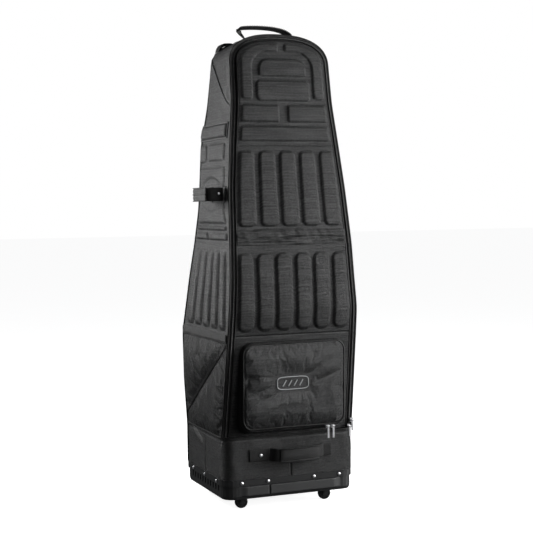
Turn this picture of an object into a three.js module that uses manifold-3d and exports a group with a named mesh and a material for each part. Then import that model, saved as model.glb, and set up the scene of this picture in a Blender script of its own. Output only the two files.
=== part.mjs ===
// Golf travel case: a hard tray on wheels, a padded fabric shell that narrows upwards, and a zipped door.
// Millimetres. +Z is up, -Y is the front, +X is the right side as seen from the front.
import * as THREE from "three";
import { mergeVertices } from "three/addons/utils/BufferGeometryUtils.js";
import Module from "manifold-3d";

const wasm = await Module();
wasm.setup();

// ---- Driving dimensions ----
const GAP = 0.4; // between pieces that touch
const TRAY = {
  halfWidth: 192,
  halfDepth: 165,
  underside: 41,
  skirt: 35.5,
  chamfer: 8,
  top: 88,
  corner: 36,
  wall: 4,
  floor: 5,
};
const LIP = { bottom: 71, overhang: 4 }; // the tray's rim, which holds the rivets
const COLLAR_TOP = 200; // the fabric collar stands on the tray's rim
const ARCH_BASE = 1190;
const SHELL_TOP = 1274; // the arch's highest point, at the front
const ARCH_POWER = 2.45; // the arch is a superellipse: 2 is an ellipse, more is squarer
const REAR_DROP = 3; // the arch is this much lower at the back
const WALL = 7; // padded fabric of the sides and the arch
const BACK_WALL = 6;
const REAR_CORNER = 35;
const DOOR_WALL = 10;
const ZIP_WIDTH = 14; // the zipper tape that frames the door
const ZIP_DEPTH = 4;
const DOOR_BOTTOM = 203;
const FOLD_Z = 728; // the door folds here
const STRAP_Z = { bottom: 457, top: 480 };

// The shell's outline at its main heights. front: half width at the door's edge, edge: the y of that edge,
// rear: half width where the rear corner starts, back: the y of the back,
// lift: how far the door stands in front of its edge, crown: how much further it bulges in the middle.
const LEVELS = [
  { z: COLLAR_TOP, front: 190.5, edge: -141, rear: 192, back: 165, lift: 6, crown: 15 },
  { z: 330, front: 188, edge: -163, rear: 197.5, back: 171, lift: 6, crown: 6 },
  { z: 465, front: 185.5, edge: -185, rear: 198, back: 175, lift: 5, crown: 2 },
  { z: 540, front: 184, edge: -196, rear: 189, back: 168, lift: 7, crown: 3 },
  { z: 620, front: 179, edge: -192, rear: 181, back: 157, lift: 7, crown: 3 },
  { z: 709, front: 176, edge: -184, rear: 169, back: 146, lift: 7, crown: 3 },
  { z: 800, front: 171.5, edge: -170, rear: 159.5, back: 135, lift: 8, crown: 4 },
  { z: 860, front: 168.5, edge: -160, rear: 157.5, back: 128, lift: 9, crown: 4 },
  { z: 983, front: 157, edge: -143.5, rear: 155, back: 117, lift: 10, crown: 4 },
  { z: 1090, front: 146, edge: -130, rear: 138, back: 107, lift: 12, crown: 4 },
  { z: ARCH_BASE, front: 143.5, edge: -116, rear: 128.5, back: 100, lift: 14, crown: 4 },
  { z: SHELL_TOP, front: 143.5, edge: -104, rear: 128.5, back: 100, lift: 14, crown: 4 },
];

// ---- Materials ----
function material(color, roughness, metalness = 0) {
  return new THREE.MeshStandardMaterial({ color, roughness, metalness });
}
const weave = () => material(0x2a2a2c, 0.78);
const liner = () => material(0x232325, 0.9);
const webbing = () => material(0x1c1c1e, 0.82);
const hardPlastic = () => material(0x1d1d1f, 0.45);
const wheelRubber = () => material(0x151515, 0.6);
const plated = () => material(0xc9c9cc, 0.25, 1);

// ---- Solids ----
function toSolid(geometry) {
  const bare = new THREE.BufferGeometry();
  bare.setAttribute("position", geometry.getAttribute("position").clone());
  if (geometry.index) bare.setIndex(geometry.index.clone());
  const merged = mergeVertices(bare, 1e-4);
  return new wasm.Manifold(
    new wasm.Mesh({
      numProp: 3,
      vertProperties: new Float32Array(merged.attributes.position.array),
      triVerts: new Uint32Array(merged.index.array),
    }),
  );
}

function toGeometry(solid) {
  const mesh = solid.getMesh();
  const geometry = new THREE.BufferGeometry();
  geometry.setAttribute("position", new THREE.BufferAttribute(new Float32Array(mesh.vertProperties), 3));
  geometry.setIndex(new THREE.BufferAttribute(new Uint32Array(mesh.triVerts), 1));
  return geometry;
}

const join = (first, ...others) => others.reduce((sum, next) => sum.add(next), first);
const cut = (first, ...others) => others.reduce((rest, next) => rest.subtract(next), first);

function box(x0, x1, y0, y1, z0, z1) {
  const geometry = new THREE.BoxGeometry(x1 - x0, y1 - y0, z1 - z0);
  return geometry.translate((x0 + x1) / 2, (y0 + y1) / 2, (z0 + z1) / 2);
}

// A cylinder from -length/2 to +length/2 along the given axis.
function rod(radius, length, axis, segments = 16) {
  const geometry = new THREE.CylinderGeometry(radius, radius, length, segments);
  if (axis === "x") geometry.rotateZ(Math.PI / 2);
  if (axis === "z") geometry.rotateX(Math.PI / 2);
  return geometry;
}

function signedVolume(positions, index) {
  const vertex = (k) => new THREE.Vector3().fromArray(positions, 3 * index[k]);
  let sum = 0;
  for (let k = 0; k < index.length; k += 3) sum += vertex(k).dot(vertex(k + 1).cross(vertex(k + 2)));
  return sum / 6;
}

// The closed surface with these triangles, turned to face outward.
function closedSurface(positions, index) {
  if (signedVolume(positions, index) < 0) {
    for (let k = 0; k < index.length; k += 3) [index[k + 1], index[k + 2]] = [index[k + 2], index[k + 1]];
  }
  const geometry = new THREE.BufferGeometry();
  geometry.setAttribute("position", new THREE.Float32BufferAttribute(positions, 3));
  geometry.setIndex(index);
  return geometry;
}

// A closed solid between two grids of points of the same size, outer[i][j] and inner[i][j].
function gridSolid(outer, inner) {
  const rows = outer.length;
  const columns = outer[0].length;
  const positions = [];
  for (const grid of [outer, inner]) {
    for (const row of grid) for (const point of row) positions.push(...point);
  }
  const at = (side, i, j) => (side * rows + i) * columns + j;
  const index = [];
  const quad = (a, b, c, d) => index.push(a, b, c, a, c, d);
  for (let i = 0; i + 1 < rows; i++) {
    for (let j = 0; j + 1 < columns; j++) {
      quad(at(0, i, j), at(0, i + 1, j), at(0, i + 1, j + 1), at(0, i, j + 1));
      quad(at(1, i, j), at(1, i, j + 1), at(1, i + 1, j + 1), at(1, i + 1, j));
    }
  }
  for (let i = 0; i + 1 < rows; i++) {
    const last = columns - 1;
    quad(at(0, i, 0), at(1, i, 0), at(1, i + 1, 0), at(0, i + 1, 0));
    quad(at(0, i, last), at(0, i + 1, last), at(1, i + 1, last), at(1, i, last));
  }
  for (let j = 0; j + 1 < columns; j++) {
    const last = rows - 1;
    quad(at(0, 0, j), at(0, 0, j + 1), at(1, 0, j + 1), at(1, 0, j));
    quad(at(0, last, j), at(1, last, j), at(1, last, j + 1), at(0, last, j + 1));
  }
  return closedSurface(positions, index);
}

// Triangles between neighbouring rings of the same number of points. In a loop ring 0 follows the last ring.
function ringWalls(rings, count, loops) {
  const index = [];
  const walls = loops ? rings.length : rings.length - 1;
  for (let i = 0; i < walls; i++) {
    const next = (i + 1) % rings.length;
    for (let j = 0; j < count; j++) {
      const k = (j + 1) % count;
      index.push(i * count + j, i * count + k, next * count + k);
      index.push(i * count + j, next * count + k, next * count + j);
    }
  }
  return index;
}

// A closed solid through rings of points, capped flat at the first ring and the last.
function ringSolid(rings) {
  const count = rings[0].length;
  const index = ringWalls(rings, count, false);
  const last = (rings.length - 1) * count;
  for (let j = 1; j + 1 < count; j++) {
    index.push(0, j + 1, j);
    index.push(last, last + j, last + j + 1);
  }
  return closedSurface(rings.flat(2), index);
}

// A sleeve with an outside and an inside, each a list of rings of points.
function sleeve(outer, inner) {
  const rings = [...outer, ...inner.reverse()];
  return closedSurface(rings.flat(2), ringWalls(rings, rings[0].length, true));
}

function roundedRing(halfWidth, halfDepth, corner, z, steps = 5) {
  const points = [];
  const corners = [
    [1, 1, 0],
    [-1, 1, 1],
    [-1, -1, 2],
    [1, -1, 3],
  ];
  for (const [sx, sy, quarter] of corners) {
    for (let k = 0; k <= steps; k++) {
      const angle = ((quarter + k / steps) * Math.PI) / 2;
      const x = sx * (halfWidth - corner) + corner * Math.cos(angle);
      const y = sy * (halfDepth - corner) + corner * Math.sin(angle);
      points.push([x, y, z]);
    }
  }
  return points;
}

// ---- The shell's surface ----
function level(z) {
  const top = LEVELS.findIndex((row) => row.z >= z);
  const upper = LEVELS[top < 0 ? LEVELS.length - 1 : Math.max(top, 1)];
  const lower = LEVELS[LEVELS.indexOf(upper) - 1];
  const share = (z - lower.z) / (upper.z - lower.z);
  const mix = {};
  for (const key of Object.keys(lower)) mix[key] = lower[key] + (upper[key] - lower[key]) * share;
  return mix;
}

// The heights of a panel's rows: its two ends and every main height between them.
function heights(from, to) {
  const between = LEVELS.map((row) => row.z).filter((z) => z > from + 1 && z < to - 1);
  return [from, ...between, to];
}

// Half width of the arch at height z, narrowed by inset all round.
function archHalfWidth(z, inset) {
  const rise = (z - ARCH_BASE) / (SHELL_TOP - ARCH_BASE - inset);
  const width = LEVELS[LEVELS.length - 1].front - inset;
  return width * Math.pow(Math.max(0, 1 - Math.pow(rise, ARCH_POWER)), 1 / ARCH_POWER);
}

const DOOR_INSET = ZIP_WIDTH + 0.6;
const doorHalfWidth = (z) => (z > ARCH_BASE ? archHalfWidth(z, DOOR_INSET) : level(z).front - DOOR_INSET);

// The y of the door's outer face.
function doorFace(x, z) {
  const { edge, lift, crown, front } = level(z);
  const across = Math.min(1, Math.abs(x) / (front - DOOR_INSET));
  return edge - lift - crown * (1 - across * across);
}

// A point on a side panel's outer face: along goes from 0 at the door's edge to 1 at the rear corner.
function sidePoint(side, along, z, inset = 0, bulge = 0) {
  const { front, edge, rear, back } = level(z);
  const y = edge + (back - REAR_CORNER - GAP - edge) * along;
  const swell = bulge * 4 * along * (1 - along);
  return [side * (front + (rear - front) * along + swell - inset), y, z];
}

// A raised pad on a surface: at(u, v, height) gives a point of it, and corners holds four [u, v] in turn.
function pad(at, corners, height) {
  const steps = [0, 0.14, 0.86, 1]; // the pad's rounded border is 14 % of its width
  const sunk = -0.6; // its rim is just under the surface
  const root = -3; // its hidden back
  const place = (s, t, h) => {
    const [a, b, c, d] = corners;
    const u = (a[0] * (1 - s) + b[0] * s) * (1 - t) + (d[0] * (1 - s) + c[0] * s) * t;
    const v = (a[1] * (1 - s) + b[1] * s) * (1 - t) + (d[1] * (1 - s) + c[1] * s) * t;
    return at(u, v, h);
  };
  const onEdge = (k) => k === 0 || k === steps.length - 1;
  const raised = (i, j) => (onEdge(i) || onEdge(j) ? sunk : height);
  const outer = steps.map((s, i) => steps.map((t, j) => place(s, t, raised(i, j))));
  const inner = steps.map((s) => steps.map((t) => place(s, t, root)));
  return toSolid(gridSolid(outer, inner));
}

// Corners of a pad whose bottom edge and top edge are level, each edge given as [from, to].
const trapezium = (bottomEdge, topEdge, [bottom, top]) => [
  [bottomEdge[0], bottom],
  [bottomEdge[1], bottom],
  [topEdge[1], top],
  [topEdge[0], top],
];

// ---- The scene graph ----
const travelCase = new THREE.Group();

function addMesh(group, name, geometry, look) {
  geometry.computeVertexNormals();
  const mesh = new THREE.Mesh(geometry, look);
  mesh.name = name;
  group.add(mesh);
  return mesh;
}

function groupAt(x, y, z) {
  const group = new THREE.Group();
  group.position.set(x, y, z);
  travelCase.add(group);
  return group;
}

// ---- Hard tray ----
const REAR_WHEEL = { x: 98, y: 131, radius: 30, width: 24 };
const WELL = { halfWidth: 19, front: REAR_WHEEL.y - 36, wall: 3, top: 66 };
const TRAY_RIBS = { count: 11, pitch: 21, halfWidth: 5, bottom: 55, depth: 2 };

function wheelWellCut(side, grow, top) {
  const half = WELL.halfWidth + grow;
  const x = side * REAR_WHEEL.x;
  return toSolid(box(x - half, x + half, WELL.front - grow, TRAY.halfDepth + 10, 0, top));
}

function tray() {
  const { halfWidth, halfDepth, underside, skirt, chamfer, top, corner, wall, floor } = TRAY;
  const ring = (inset, z) => roundedRing(halfWidth - inset, halfDepth - inset, corner - inset, z);
  const body = toSolid(
    ringSolid([
      ring(20, underside),
      ring(16, skirt),
      ring(7, skirt),
      ring(LIP.overhang, skirt + chamfer),
      ring(LIP.overhang, LIP.bottom),
      ring(0, LIP.bottom + 1),
      ring(0, top),
      ring(wall, top),
      ring(wall + LIP.overhang, LIP.bottom - 2),
      ring(wall + LIP.overhang + 6, underside + floor),
    ]),
  );
  const ribs = [];
  const face = halfWidth - LIP.overhang;
  for (const x of [-face, face]) {
    for (let k = 0; k < TRAY_RIBS.count; k++) {
      const y = (k - (TRAY_RIBS.count - 1) / 2) * TRAY_RIBS.pitch;
      const { depth, bottom } = TRAY_RIBS;
      const half = TRAY_RIBS.halfWidth;
      ribs.push(toSolid(box(x - depth, x + depth, y - half, y + half, bottom, LIP.bottom + 0.5)));
    }
  }
  const wells = [-1, 1].map((side) => wheelWellCut(side, WELL.wall + GAP, WELL.top + WELL.wall + GAP));
  return toGeometry(cut(join(body, ...ribs), ...wells));
}

addMesh(travelCase, "base_tray", tray(), hardPlastic());

function kickPlate() {
  const halfWidth = 148;
  const front = -TRAY.halfDepth - 1.5;
  const back = -TRAY.halfDepth + LIP.overhang - GAP;
  return box(-halfWidth, halfWidth, front, back, TRAY.skirt + TRAY.chamfer + GAP, LIP.bottom - GAP);
}
addMesh(travelCase, "front_kick_plate", kickPlate(), hardPlastic());

function floorPad() {
  const halfWidth = 165;
  const front = -138;
  const bottom = TRAY.underside + TRAY.floor + GAP;
  return box(-halfWidth, halfWidth, front, WELL.front - 5, bottom, bottom + 8);
}
addMesh(travelCase, "floor_pad", floorPad(), liner());

// ---- Fabric collar: three walls, the fourth is the back panel ----
const COLLAR_WALL = 3;
const collarColumn = (x, y) => [TRAY.top + GAP, COLLAR_TOP].map((z) => [x, y, z]);

// The collar's outline runs round the middle of each front corner, where the walls meet.
function cornerArc(side, radius, shares) {
  return shares.map((share) => {
    const angle = (share * Math.PI) / 2;
    const x = TRAY.halfWidth - TRAY.corner + radius * Math.cos(angle);
    return collarColumn(side * x, -TRAY.halfDepth + TRAY.corner - radius * Math.sin(angle));
  });
}

function collarFront() {
  const shares = [0.5, 0.75, 1];
  const line = (radius) => [...cornerArc(-1, radius, shares), ...cornerArc(1, radius, shares).reverse()];
  return gridSolid(line(TRAY.corner), line(TRAY.corner - COLLAR_WALL));
}

function collarSide(side) {
  const rear = TRAY.halfDepth - REAR_CORNER - GAP;
  const shares = [0, 0.25, 0.48];
  const line = (inset) => [
    collarColumn(side * (TRAY.halfWidth - inset), rear),
    ...cornerArc(side, TRAY.corner - inset, shares),
  ];
  return gridSolid(line(0), line(COLLAR_WALL));
}
addMesh(travelCase, "collar_front", collarFront(), weave());
addMesh(travelCase, "collar_left", collarSide(-1), weave());
addMesh(travelCase, "collar_right", collarSide(1), weave());

// ---- Back panel: flat, with rounded corners that meet the side panels ----
function backPanel() {
  const rows = heights(TRAY.top + GAP, ARCH_BASE - GAP);
  const arcSteps = 3;
  const profile = (z, inset) => {
    const { rear, back } = level(Math.max(z, COLLAR_TOP));
    const radius = REAR_CORNER - inset;
    const right = [];
    for (let k = 0; k <= arcSteps; k++) {
      const angle = (k / arcSteps) * (Math.PI / 2);
      const x = rear - REAR_CORNER + radius * Math.cos(angle);
      const y = back - REAR_CORNER + radius * Math.sin(angle);
      right.push([x, y, z]);
    }
    return [...right, ...right.map(([x, y]) => [-x, y, z]).reverse()];
  };
  const channel = toSolid(
    gridSolid(
      rows.map((z) => profile(z, 0)),
      rows.map((z) => profile(z, BACK_WALL)),
    ),
  );
  const slots = [-1, 1].map((side) => wheelWellCut(side, 1, TRAY.top + 8));
  return toGeometry(cut(channel, ...slots));
}
addMesh(travelCase, "back_panel", backPanel(), weave());

// ---- Side panels: moulded above the strap, soft below it ----
function sideSlab(side, from, to, bulge) {
  const alongs = [0, 0.5, 1];
  const rows = heights(from, to);
  return toSolid(
    gridSolid(
      rows.map((z) => alongs.map((along) => sidePoint(side, along, z, 0, bulge))),
      rows.map((z) => alongs.map((along) => sidePoint(side, along, z, WALL, bulge))),
    ),
  );
}

// Pads of a side panel: [from, to] along it at its bottom and at its top, and [bottom, top] in height.
const SIDE_PADS = [
  { bottomEdge: [0.04, 0.5], topEdge: [0.04, 0.45], z: [722, 746], thick: 4 },
  { bottomEdge: [0.6, 0.96], topEdge: [0.55, 0.96], z: [722, 746], thick: 4 },
  { bottomEdge: [0.06, 0.94], topEdge: [0.06, 0.94], z: [752, 763], thick: 3 },
  { bottomEdge: [0.08, 0.92], topEdge: [0.08, 0.92], z: [772, 815], thick: 4 },
  { bottomEdge: [0.08, 0.92], topEdge: [0.08, 0.92], z: [884, 917], thick: 4 },
  { bottomEdge: [0.1, 0.52], topEdge: [0.1, 0.52], z: [937, 981], thick: 4 },
  { bottomEdge: [0.62, 0.92], topEdge: [0.62, 0.92], z: [937, 983], thick: 4 },
  { bottomEdge: [0.08, 0.92], topEdge: [0.08, 0.92], z: [998, 1036], thick: 4 },
];
const SIDE_RIBS = { count: 5, first: 0.04, pitch: 0.184, width: 0.15, z: [492, 700], thick: 5 };

function sidePads(side) {
  const at = (along, z, height) => sidePoint(side, along, z, -height);
  const place = ({ bottomEdge, topEdge, z, thick }) => pad(at, trapezium(bottomEdge, topEdge, z), thick);
  const ribs = [];
  for (let k = 0; k < SIDE_RIBS.count; k++) {
    const from = SIDE_RIBS.first + k * SIDE_RIBS.pitch;
    const edge = [from, from + SIDE_RIBS.width];
    ribs.push({ ...SIDE_RIBS, bottomEdge: edge, topEdge: edge });
  }
  return [...ribs, ...SIDE_PADS].map(place);
}

function sideStrap(side) {
  const row = (z, inset) => [0.02, 0.98].map((along) => sidePoint(side, along, z, inset));
  const face = (inset) => [row(STRAP_Z.bottom + 1, inset), row(STRAP_Z.top, inset)];
  return gridSolid(face(-2.6), face(-GAP - 0.2));
}

for (const [name, side] of [
  ["left", -1],
  ["right", 1],
]) {
  const upper = sideSlab(side, STRAP_Z.bottom + GAP, ARCH_BASE - GAP, 0);
  const lower = sideSlab(side, COLLAR_TOP + GAP, STRAP_Z.bottom, 5);
  addMesh(travelCase, `side_${name}_upper`, toGeometry(join(upper, ...sidePads(side))), weave());
  addMesh(travelCase, `side_${name}_lower`, toGeometry(lower), weave());
  addMesh(travelCase, `side_strap_${name}`, sideStrap(side), webbing());
}

// ---- Arched top, closed at the back by a rounded end ----
function archPoint(turn, halfWidth, rise) {
  const c = Math.cos(turn);
  const s = Math.sin(turn);
  const power = 2 / ARCH_POWER;
  const across = Math.sign(c) * Math.pow(Math.abs(c), power);
  return [halfWidth * across, ARCH_BASE + rise * Math.pow(Math.abs(s), power)];
}

const ARCH_TURNS = Array.from({ length: 15 }, (_, k) => (k / 14) * Math.PI);

function archShell() {
  const top = LEVELS[LEVELS.length - 1];
  const cornerStart = top.back - REAR_CORNER;
  const grid = (thickness) =>
    ARCH_TURNS.map((turn) => {
      const row = [];
      const section = (share, y, inset) => {
        const halfWidth = top.front + (top.rear - top.front) * share - inset;
        const [x, z] = archPoint(turn, halfWidth, SHELL_TOP - ARCH_BASE - REAR_DROP * share - inset);
        row.push([x, y === null ? level(z).edge : y, z]);
      };
      section(0, null, thickness);
      section(0.5, -20, thickness);
      section(1, cornerStart, thickness);
      for (const angle of [30, 60, 85]) {
        const bend = THREE.MathUtils.degToRad(angle);
        const radius = REAR_CORNER - thickness;
        section(1, cornerStart + radius * Math.sin(bend), thickness + radius * (1 - Math.cos(bend)));
      }
      return row;
    });
  return toSolid(gridSolid(grid(0), grid(WALL)));
}

function archBackPlate() {
  const top = LEVELS[LEVELS.length - 1];
  const inset = REAR_CORNER - WALL + 1;
  const outline = new THREE.Shape(
    ARCH_TURNS.map((turn) => {
      const [x, z] = archPoint(turn, top.rear - inset, SHELL_TOP - ARCH_BASE - REAR_DROP - inset);
      return new THREE.Vector2(x, z + GAP / 4);
    }),
  );
  const plate = new THREE.ExtrudeGeometry(outline, { depth: BACK_WALL - 1, bevelEnabled: false });
  plate.rotateX(Math.PI / 2);
  return toSolid(plate.translate(0, top.back - 0.8, 0));
}
addMesh(travelCase, "top_arch", toGeometry(join(archShell(), archBackPlate())), weave());

// ---- Zipper tape that frames the door ----
function zipFrame() {
  const slope = 2; // the tape's inner edge stands further forward, against the door
  const path = (inset, offset) => {
    const rows = heights(DOOR_BOTTOM, ARCH_BASE - 5);
    const upright = (side, z) => [side * (level(z).front - inset), level(z).edge + offset, z];
    const arch = ARCH_TURNS.map((turn) => {
      const [x, z] = archPoint(turn, LEVELS[LEVELS.length - 1].front - inset, SHELL_TOP - ARCH_BASE - inset);
      return [x, level(z).edge + offset, z];
    });
    return [...rows.map((z) => upright(1, z)), ...arch, ...rows.reverse().map((z) => upright(-1, z))];
  };
  const face = (offset) => {
    const inner = path(ZIP_WIDTH, offset - slope);
    return path(0, offset).map((point, k) => [point, inner[k]]);
  };
  return gridSolid(face(-GAP - ZIP_DEPTH), face(-GAP));
}
addMesh(travelCase, "zipper_frame", zipFrame(), webbing());

// ---- Main door: a lower half with the pocket, and an upper half that folds down ----
function doorSlab(rows) {
  const across = [-1, -0.5, 0, 0.5, 1];
  const point = (share, z, depth) => {
    const x = share * doorHalfWidth(z);
    return [x, doorFace(x, z) + depth, z];
  };
  const grid = (depth) => rows.map((z) => across.map((share) => point(share, z, depth)));
  return toSolid(gridSolid(grid(0), grid(DOOR_WALL)));
}

function doorPads(list) {
  const at = (x, z, height) => [x, doorFace(x, z) - height, z];
  return list.map(({ corners, thick }) => pad(at, corners, thick));
}

const LOWER_RIBS = {
  places: [-2.5, -1.5, -0.5, 0.5, 1.5, 2.5],
  pitch: 55.5,
  halfWidth: 22,
  z: [484, 692],
  thick: 6,
};
function lowerDoor() {
  const ribs = LOWER_RIBS.places.map((place) => {
    const x = place * LOWER_RIBS.pitch;
    const edge = [x - LOWER_RIBS.halfWidth, x + LOWER_RIBS.halfWidth];
    return { corners: trapezium(edge, edge, LOWER_RIBS.z), thick: LOWER_RIBS.thick };
  });
  return toGeometry(join(doorSlab(heights(DOOR_BOTTOM, FOLD_Z - 0.5)), ...doorPads(ribs)));
}

const UPPER_RIBS = { places: [-2, -1, 0, 1, 2], z: [760, 960], thick: 6 };
UPPER_RIBS.bottom = { pitch: 60, halfWidth: 25 };
UPPER_RIBS.top = { pitch: 56, halfWidth: 20 };
const UPPER_PADS = [
  { corners: trapezium([-134, 134], [-130, 130], [982, 1024]), thick: 5 },
  { corners: trapezium([-124, -17], [-124, -17], [1036, 1081]), thick: 5 },
  { corners: trapezium([10, 120], [10, 120], [1036, 1081]), thick: 5 },
  { corners: trapezium([-76, 76], [-76, 76], [1094, 1148]), thick: 5 },
  { corners: trapezium([-68, 68], [-68, 68], [1160, 1204]), thick: 5 },
];

// The four pads that follow the arch, two on each side of the middle.
function archPads(side) {
  const column = [
    [86, 1096],
    [124, 1096],
    [121, 1180],
    [86, 1180],
  ];
  const crown = [
    [7, 1222],
    [112, 1186],
    [78, 1238],
    [7, 1250],
  ];
  return [column, crown].map((corners) => ({ corners: corners.map(([x, z]) => [side * x, z]), thick: 5 }));
}

function upperDoor() {
  const archRows = [1212, 1230, 1243, 1253, 1258.5];
  const edge = ({ pitch, halfWidth }, place) => [place * pitch - halfWidth, place * pitch + halfWidth];
  const ribs = UPPER_RIBS.places.map((place) => ({
    corners: trapezium(edge(UPPER_RIBS.bottom, place), edge(UPPER_RIBS.top, place), UPPER_RIBS.z),
    thick: UPPER_RIBS.thick,
  }));
  const pads = doorPads([...ribs, ...UPPER_PADS, ...archPads(-1), ...archPads(1)]);
  return toGeometry(join(doorSlab([...heights(FOLD_Z + 0.5, ARCH_BASE), ...archRows]), ...pads));
}
addMesh(travelCase, "door_lower_panel", lowerDoor(), weave());
addMesh(travelCase, "door_upper_panel", upperDoor(), weave());

// ---- Front pocket ----
const POCKET = { halfWidth: 145, bottom: 226, top: 451, corner: 26, face: -192, lean: 6, flap: 5, skin: 4 };

function pocketOutline(grow, drop) {
  const halfWidth = POCKET.halfWidth + grow;
  const centre = (POCKET.bottom + POCKET.top - drop) / 2;
  const halfHeight = (POCKET.top - POCKET.bottom + drop) / 2 + grow;
  const corners = roundedRing(halfWidth, halfHeight, POCKET.corner + grow, 0, 4);
  const outline = [];
  corners.forEach(([x, y], k) => {
    const [nextX, nextY] = corners[(k + 1) % corners.length];
    const pieces = k % 5 === 4 ? 4 : 1; // the straight sides bend with the door behind them
    for (let j = 0; j < pieces; j++) {
      outline.push([x + ((nextX - x) * j) / pieces, centre + y + ((nextY - y) * j) / pieces]);
    }
  });
  return outline;
}

// The y of the pocket's face, which leans back towards its bottom.
const pocketFace = (z) => POCKET.face - (POCKET.lean * (z - POCKET.bottom)) / (POCKET.top - POCKET.bottom);

function pocketGusset() {
  const ring = (grow, drop, y) => pocketOutline(grow, drop).map(([x, z]) => [x, y(x, z), z]);
  const onFace = (x, z) => pocketFace(z) + GAP + POCKET.flap;
  const nearFace = (x, z) => onFace(x, z) + 1;
  const onDoor = (x, z) => Math.max(onFace(x, z) + 1.5, doorFace(x, z) - 4 * GAP);
  const outer = [ring(-1, 0, onFace), ring(2, 4, nearFace), ring(4, 14, onDoor)];
  const inner = [
    ring(-1 - POCKET.skin, 0, onFace),
    ring(-1 - POCKET.skin, 0, nearFace),
    ring(-POCKET.skin, 14, onDoor),
  ];
  return sleeve(outer, inner);
}

function pocketPanel() {
  const outline = (y) => pocketOutline(0, 0).map(([x, z]) => [x, pocketFace(z) + y, z]);
  return ringSolid([outline(0), outline(POCKET.flap)]);
}
addMesh(travelCase, "pocket_gusset", pocketGusset(), webbing());
addMesh(travelCase, "pocket_flap_panel", pocketPanel(), weave());

const BADGE = { halfWidth: 47, halfHeight: 19, z: 345, thick: 1.6 };
function badge() {
  const ring = (y) =>
    roundedRing(BADGE.halfWidth, BADGE.halfHeight, 5, 0, 2).map(([x, up]) => {
      const z = BADGE.z + up;
      return [x - 8, pocketFace(z) - y, z];
    });
  return ringSolid([ring(GAP + BADGE.thick), ring(GAP)]);
}
addMesh(travelCase, "pocket_badge", badge(), hardPlastic());

// ---- Zip sliders, each with a pull that hangs from its bail ----
const SLIDER = { width: 9, height: 11, depth: 4, bailReach: 4.2, bailRadius: 1.1, postX: 3.9, postWidth: 1.2 };
const PULL = { width: 5, thick: 1.8, eyeRadius: 3, holeRadius: 1.55 };

// The slider's origin is the middle of its back face, and the bail's bar is bailReach in front of its front.
function slider(name, x, y, z, pullLength) {
  const group = groupAt(x, y, z);
  const barY = -SLIDER.depth - SLIDER.bailReach;
  const half = SLIDER.width / 2;
  const body = toSolid(box(-half, half, -SLIDER.depth, 0, -SLIDER.height / 2, SLIDER.height / 2));
  const postHalf = SLIDER.bailRadius + 0.1;
  const posts = [-SLIDER.postX, SLIDER.postX].map((middle) => {
    const x0 = middle - SLIDER.postWidth / 2;
    const front = barY - SLIDER.bailRadius;
    return toSolid(box(x0, x0 + SLIDER.postWidth, front, -SLIDER.depth + 0.5, -postHalf, postHalf));
  });
  const bar = toSolid(rod(SLIDER.bailRadius, 2 * SLIDER.postX + 0.8, "x", 10).translate(0, barY, 0));
  addMesh(group, `${name}_slider`, toGeometry(join(body, ...posts, bar)), plated());

  const eye = toSolid(rod(PULL.eyeRadius, PULL.width, "x", 14));
  const halfWidth = PULL.width / 2;
  const halfThick = PULL.thick / 2;
  const blade = toSolid(box(-halfWidth, halfWidth, -halfThick, halfThick, -pullLength, -2));
  const hole = toSolid(rod(PULL.holeRadius, PULL.width + 2, "x", 14));
  const pull = new THREE.Group();
  pull.position.set(0, barY, 0);
  group.add(pull);
  addMesh(pull, `${name}_pull`, toGeometry(cut(join(eye, blade), hole)), plated());
}

const frameFace = (z) => level(z).edge - GAP - ZIP_DEPTH - 2;
slider("door_upper", 186.4, frameFace(224) - GAP - 0.8, 224, 29);
slider("door_lower", 178.8, frameFace(207.5) - GAP - 3, 207.5, 27);
slider("pocket_left", 98, POCKET.face + POCKET.flap - GAP, 219.5, 32);
slider("pocket_right", 113, POCKET.face + POCKET.flap - GAP, 219.5, 32);

// ---- Webbing handles ----
// A strap bent through points in the XZ or XY plane, as wide as its extrusion.
function strapSolid(outline, from, to, axis) {
  const shape = new THREE.Shape(outline.map(([u, v]) => new THREE.Vector2(u, v)));
  const geometry = new THREE.ExtrudeGeometry(shape, { depth: to - from, bevelEnabled: false });
  if (axis === "y") geometry.rotateX(Math.PI / 2).translate(0, to, 0);
  if (axis === "z") geometry.translate(0, 0, from);
  return geometry;
}

// Top handle: its outline is in x and z, and it hinges on the line between its feet.
const TOP_HANDLE = {
  y: -15,
  halfSpan: 76,
  feet: 1275,
  feetX: 62,
  crown: 1307,
  thick: 5,
  halfDepth: 15,
  footDepth: 4,
};
function topHandle() {
  const { y, halfSpan, feet, feetX, crown, thick, halfDepth, footDepth } = TOP_HANDLE;
  const outer = [
    [feetX, feet],
    [halfSpan, feet + 15],
    [halfSpan - 2, feet + 21],
    [halfSpan / 2, crown - 3],
    [0, crown],
  ];
  const inner = [
    [0, crown - thick],
    [halfSpan / 2, crown - 3 - thick],
    [halfSpan - 6, feet + 21 - thick],
    [feetX - thick, feet],
  ];
  const mirror = (points) => points.map(([x, z]) => [-x, z]).reverse();
  const outline = [...outer, ...mirror(outer).slice(1), ...mirror(inner), ...inner.slice(1)];
  const strap = toSolid(strapSolid(outline, y - halfDepth, y + halfDepth, "y"));
  const footX = feetX - thick / 2;
  const feetRods = [-footX, footX].map((x) => toSolid(rod(footDepth, thick, "x", 16).translate(x, y, feet)));
  const trims = [
    [y - halfDepth - 1, y - footDepth],
    [y + footDepth, y + halfDepth + 1],
  ].map(([y0, y1]) => toSolid(box(-halfSpan - 2, halfSpan + 2, y0, y1, feet - 1, feet + 10)));
  return toGeometry(join(cut(strap, ...trims), ...feetRods));
}
addMesh(travelCase, "top_handle_strap", topHandle(), webbing());

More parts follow.
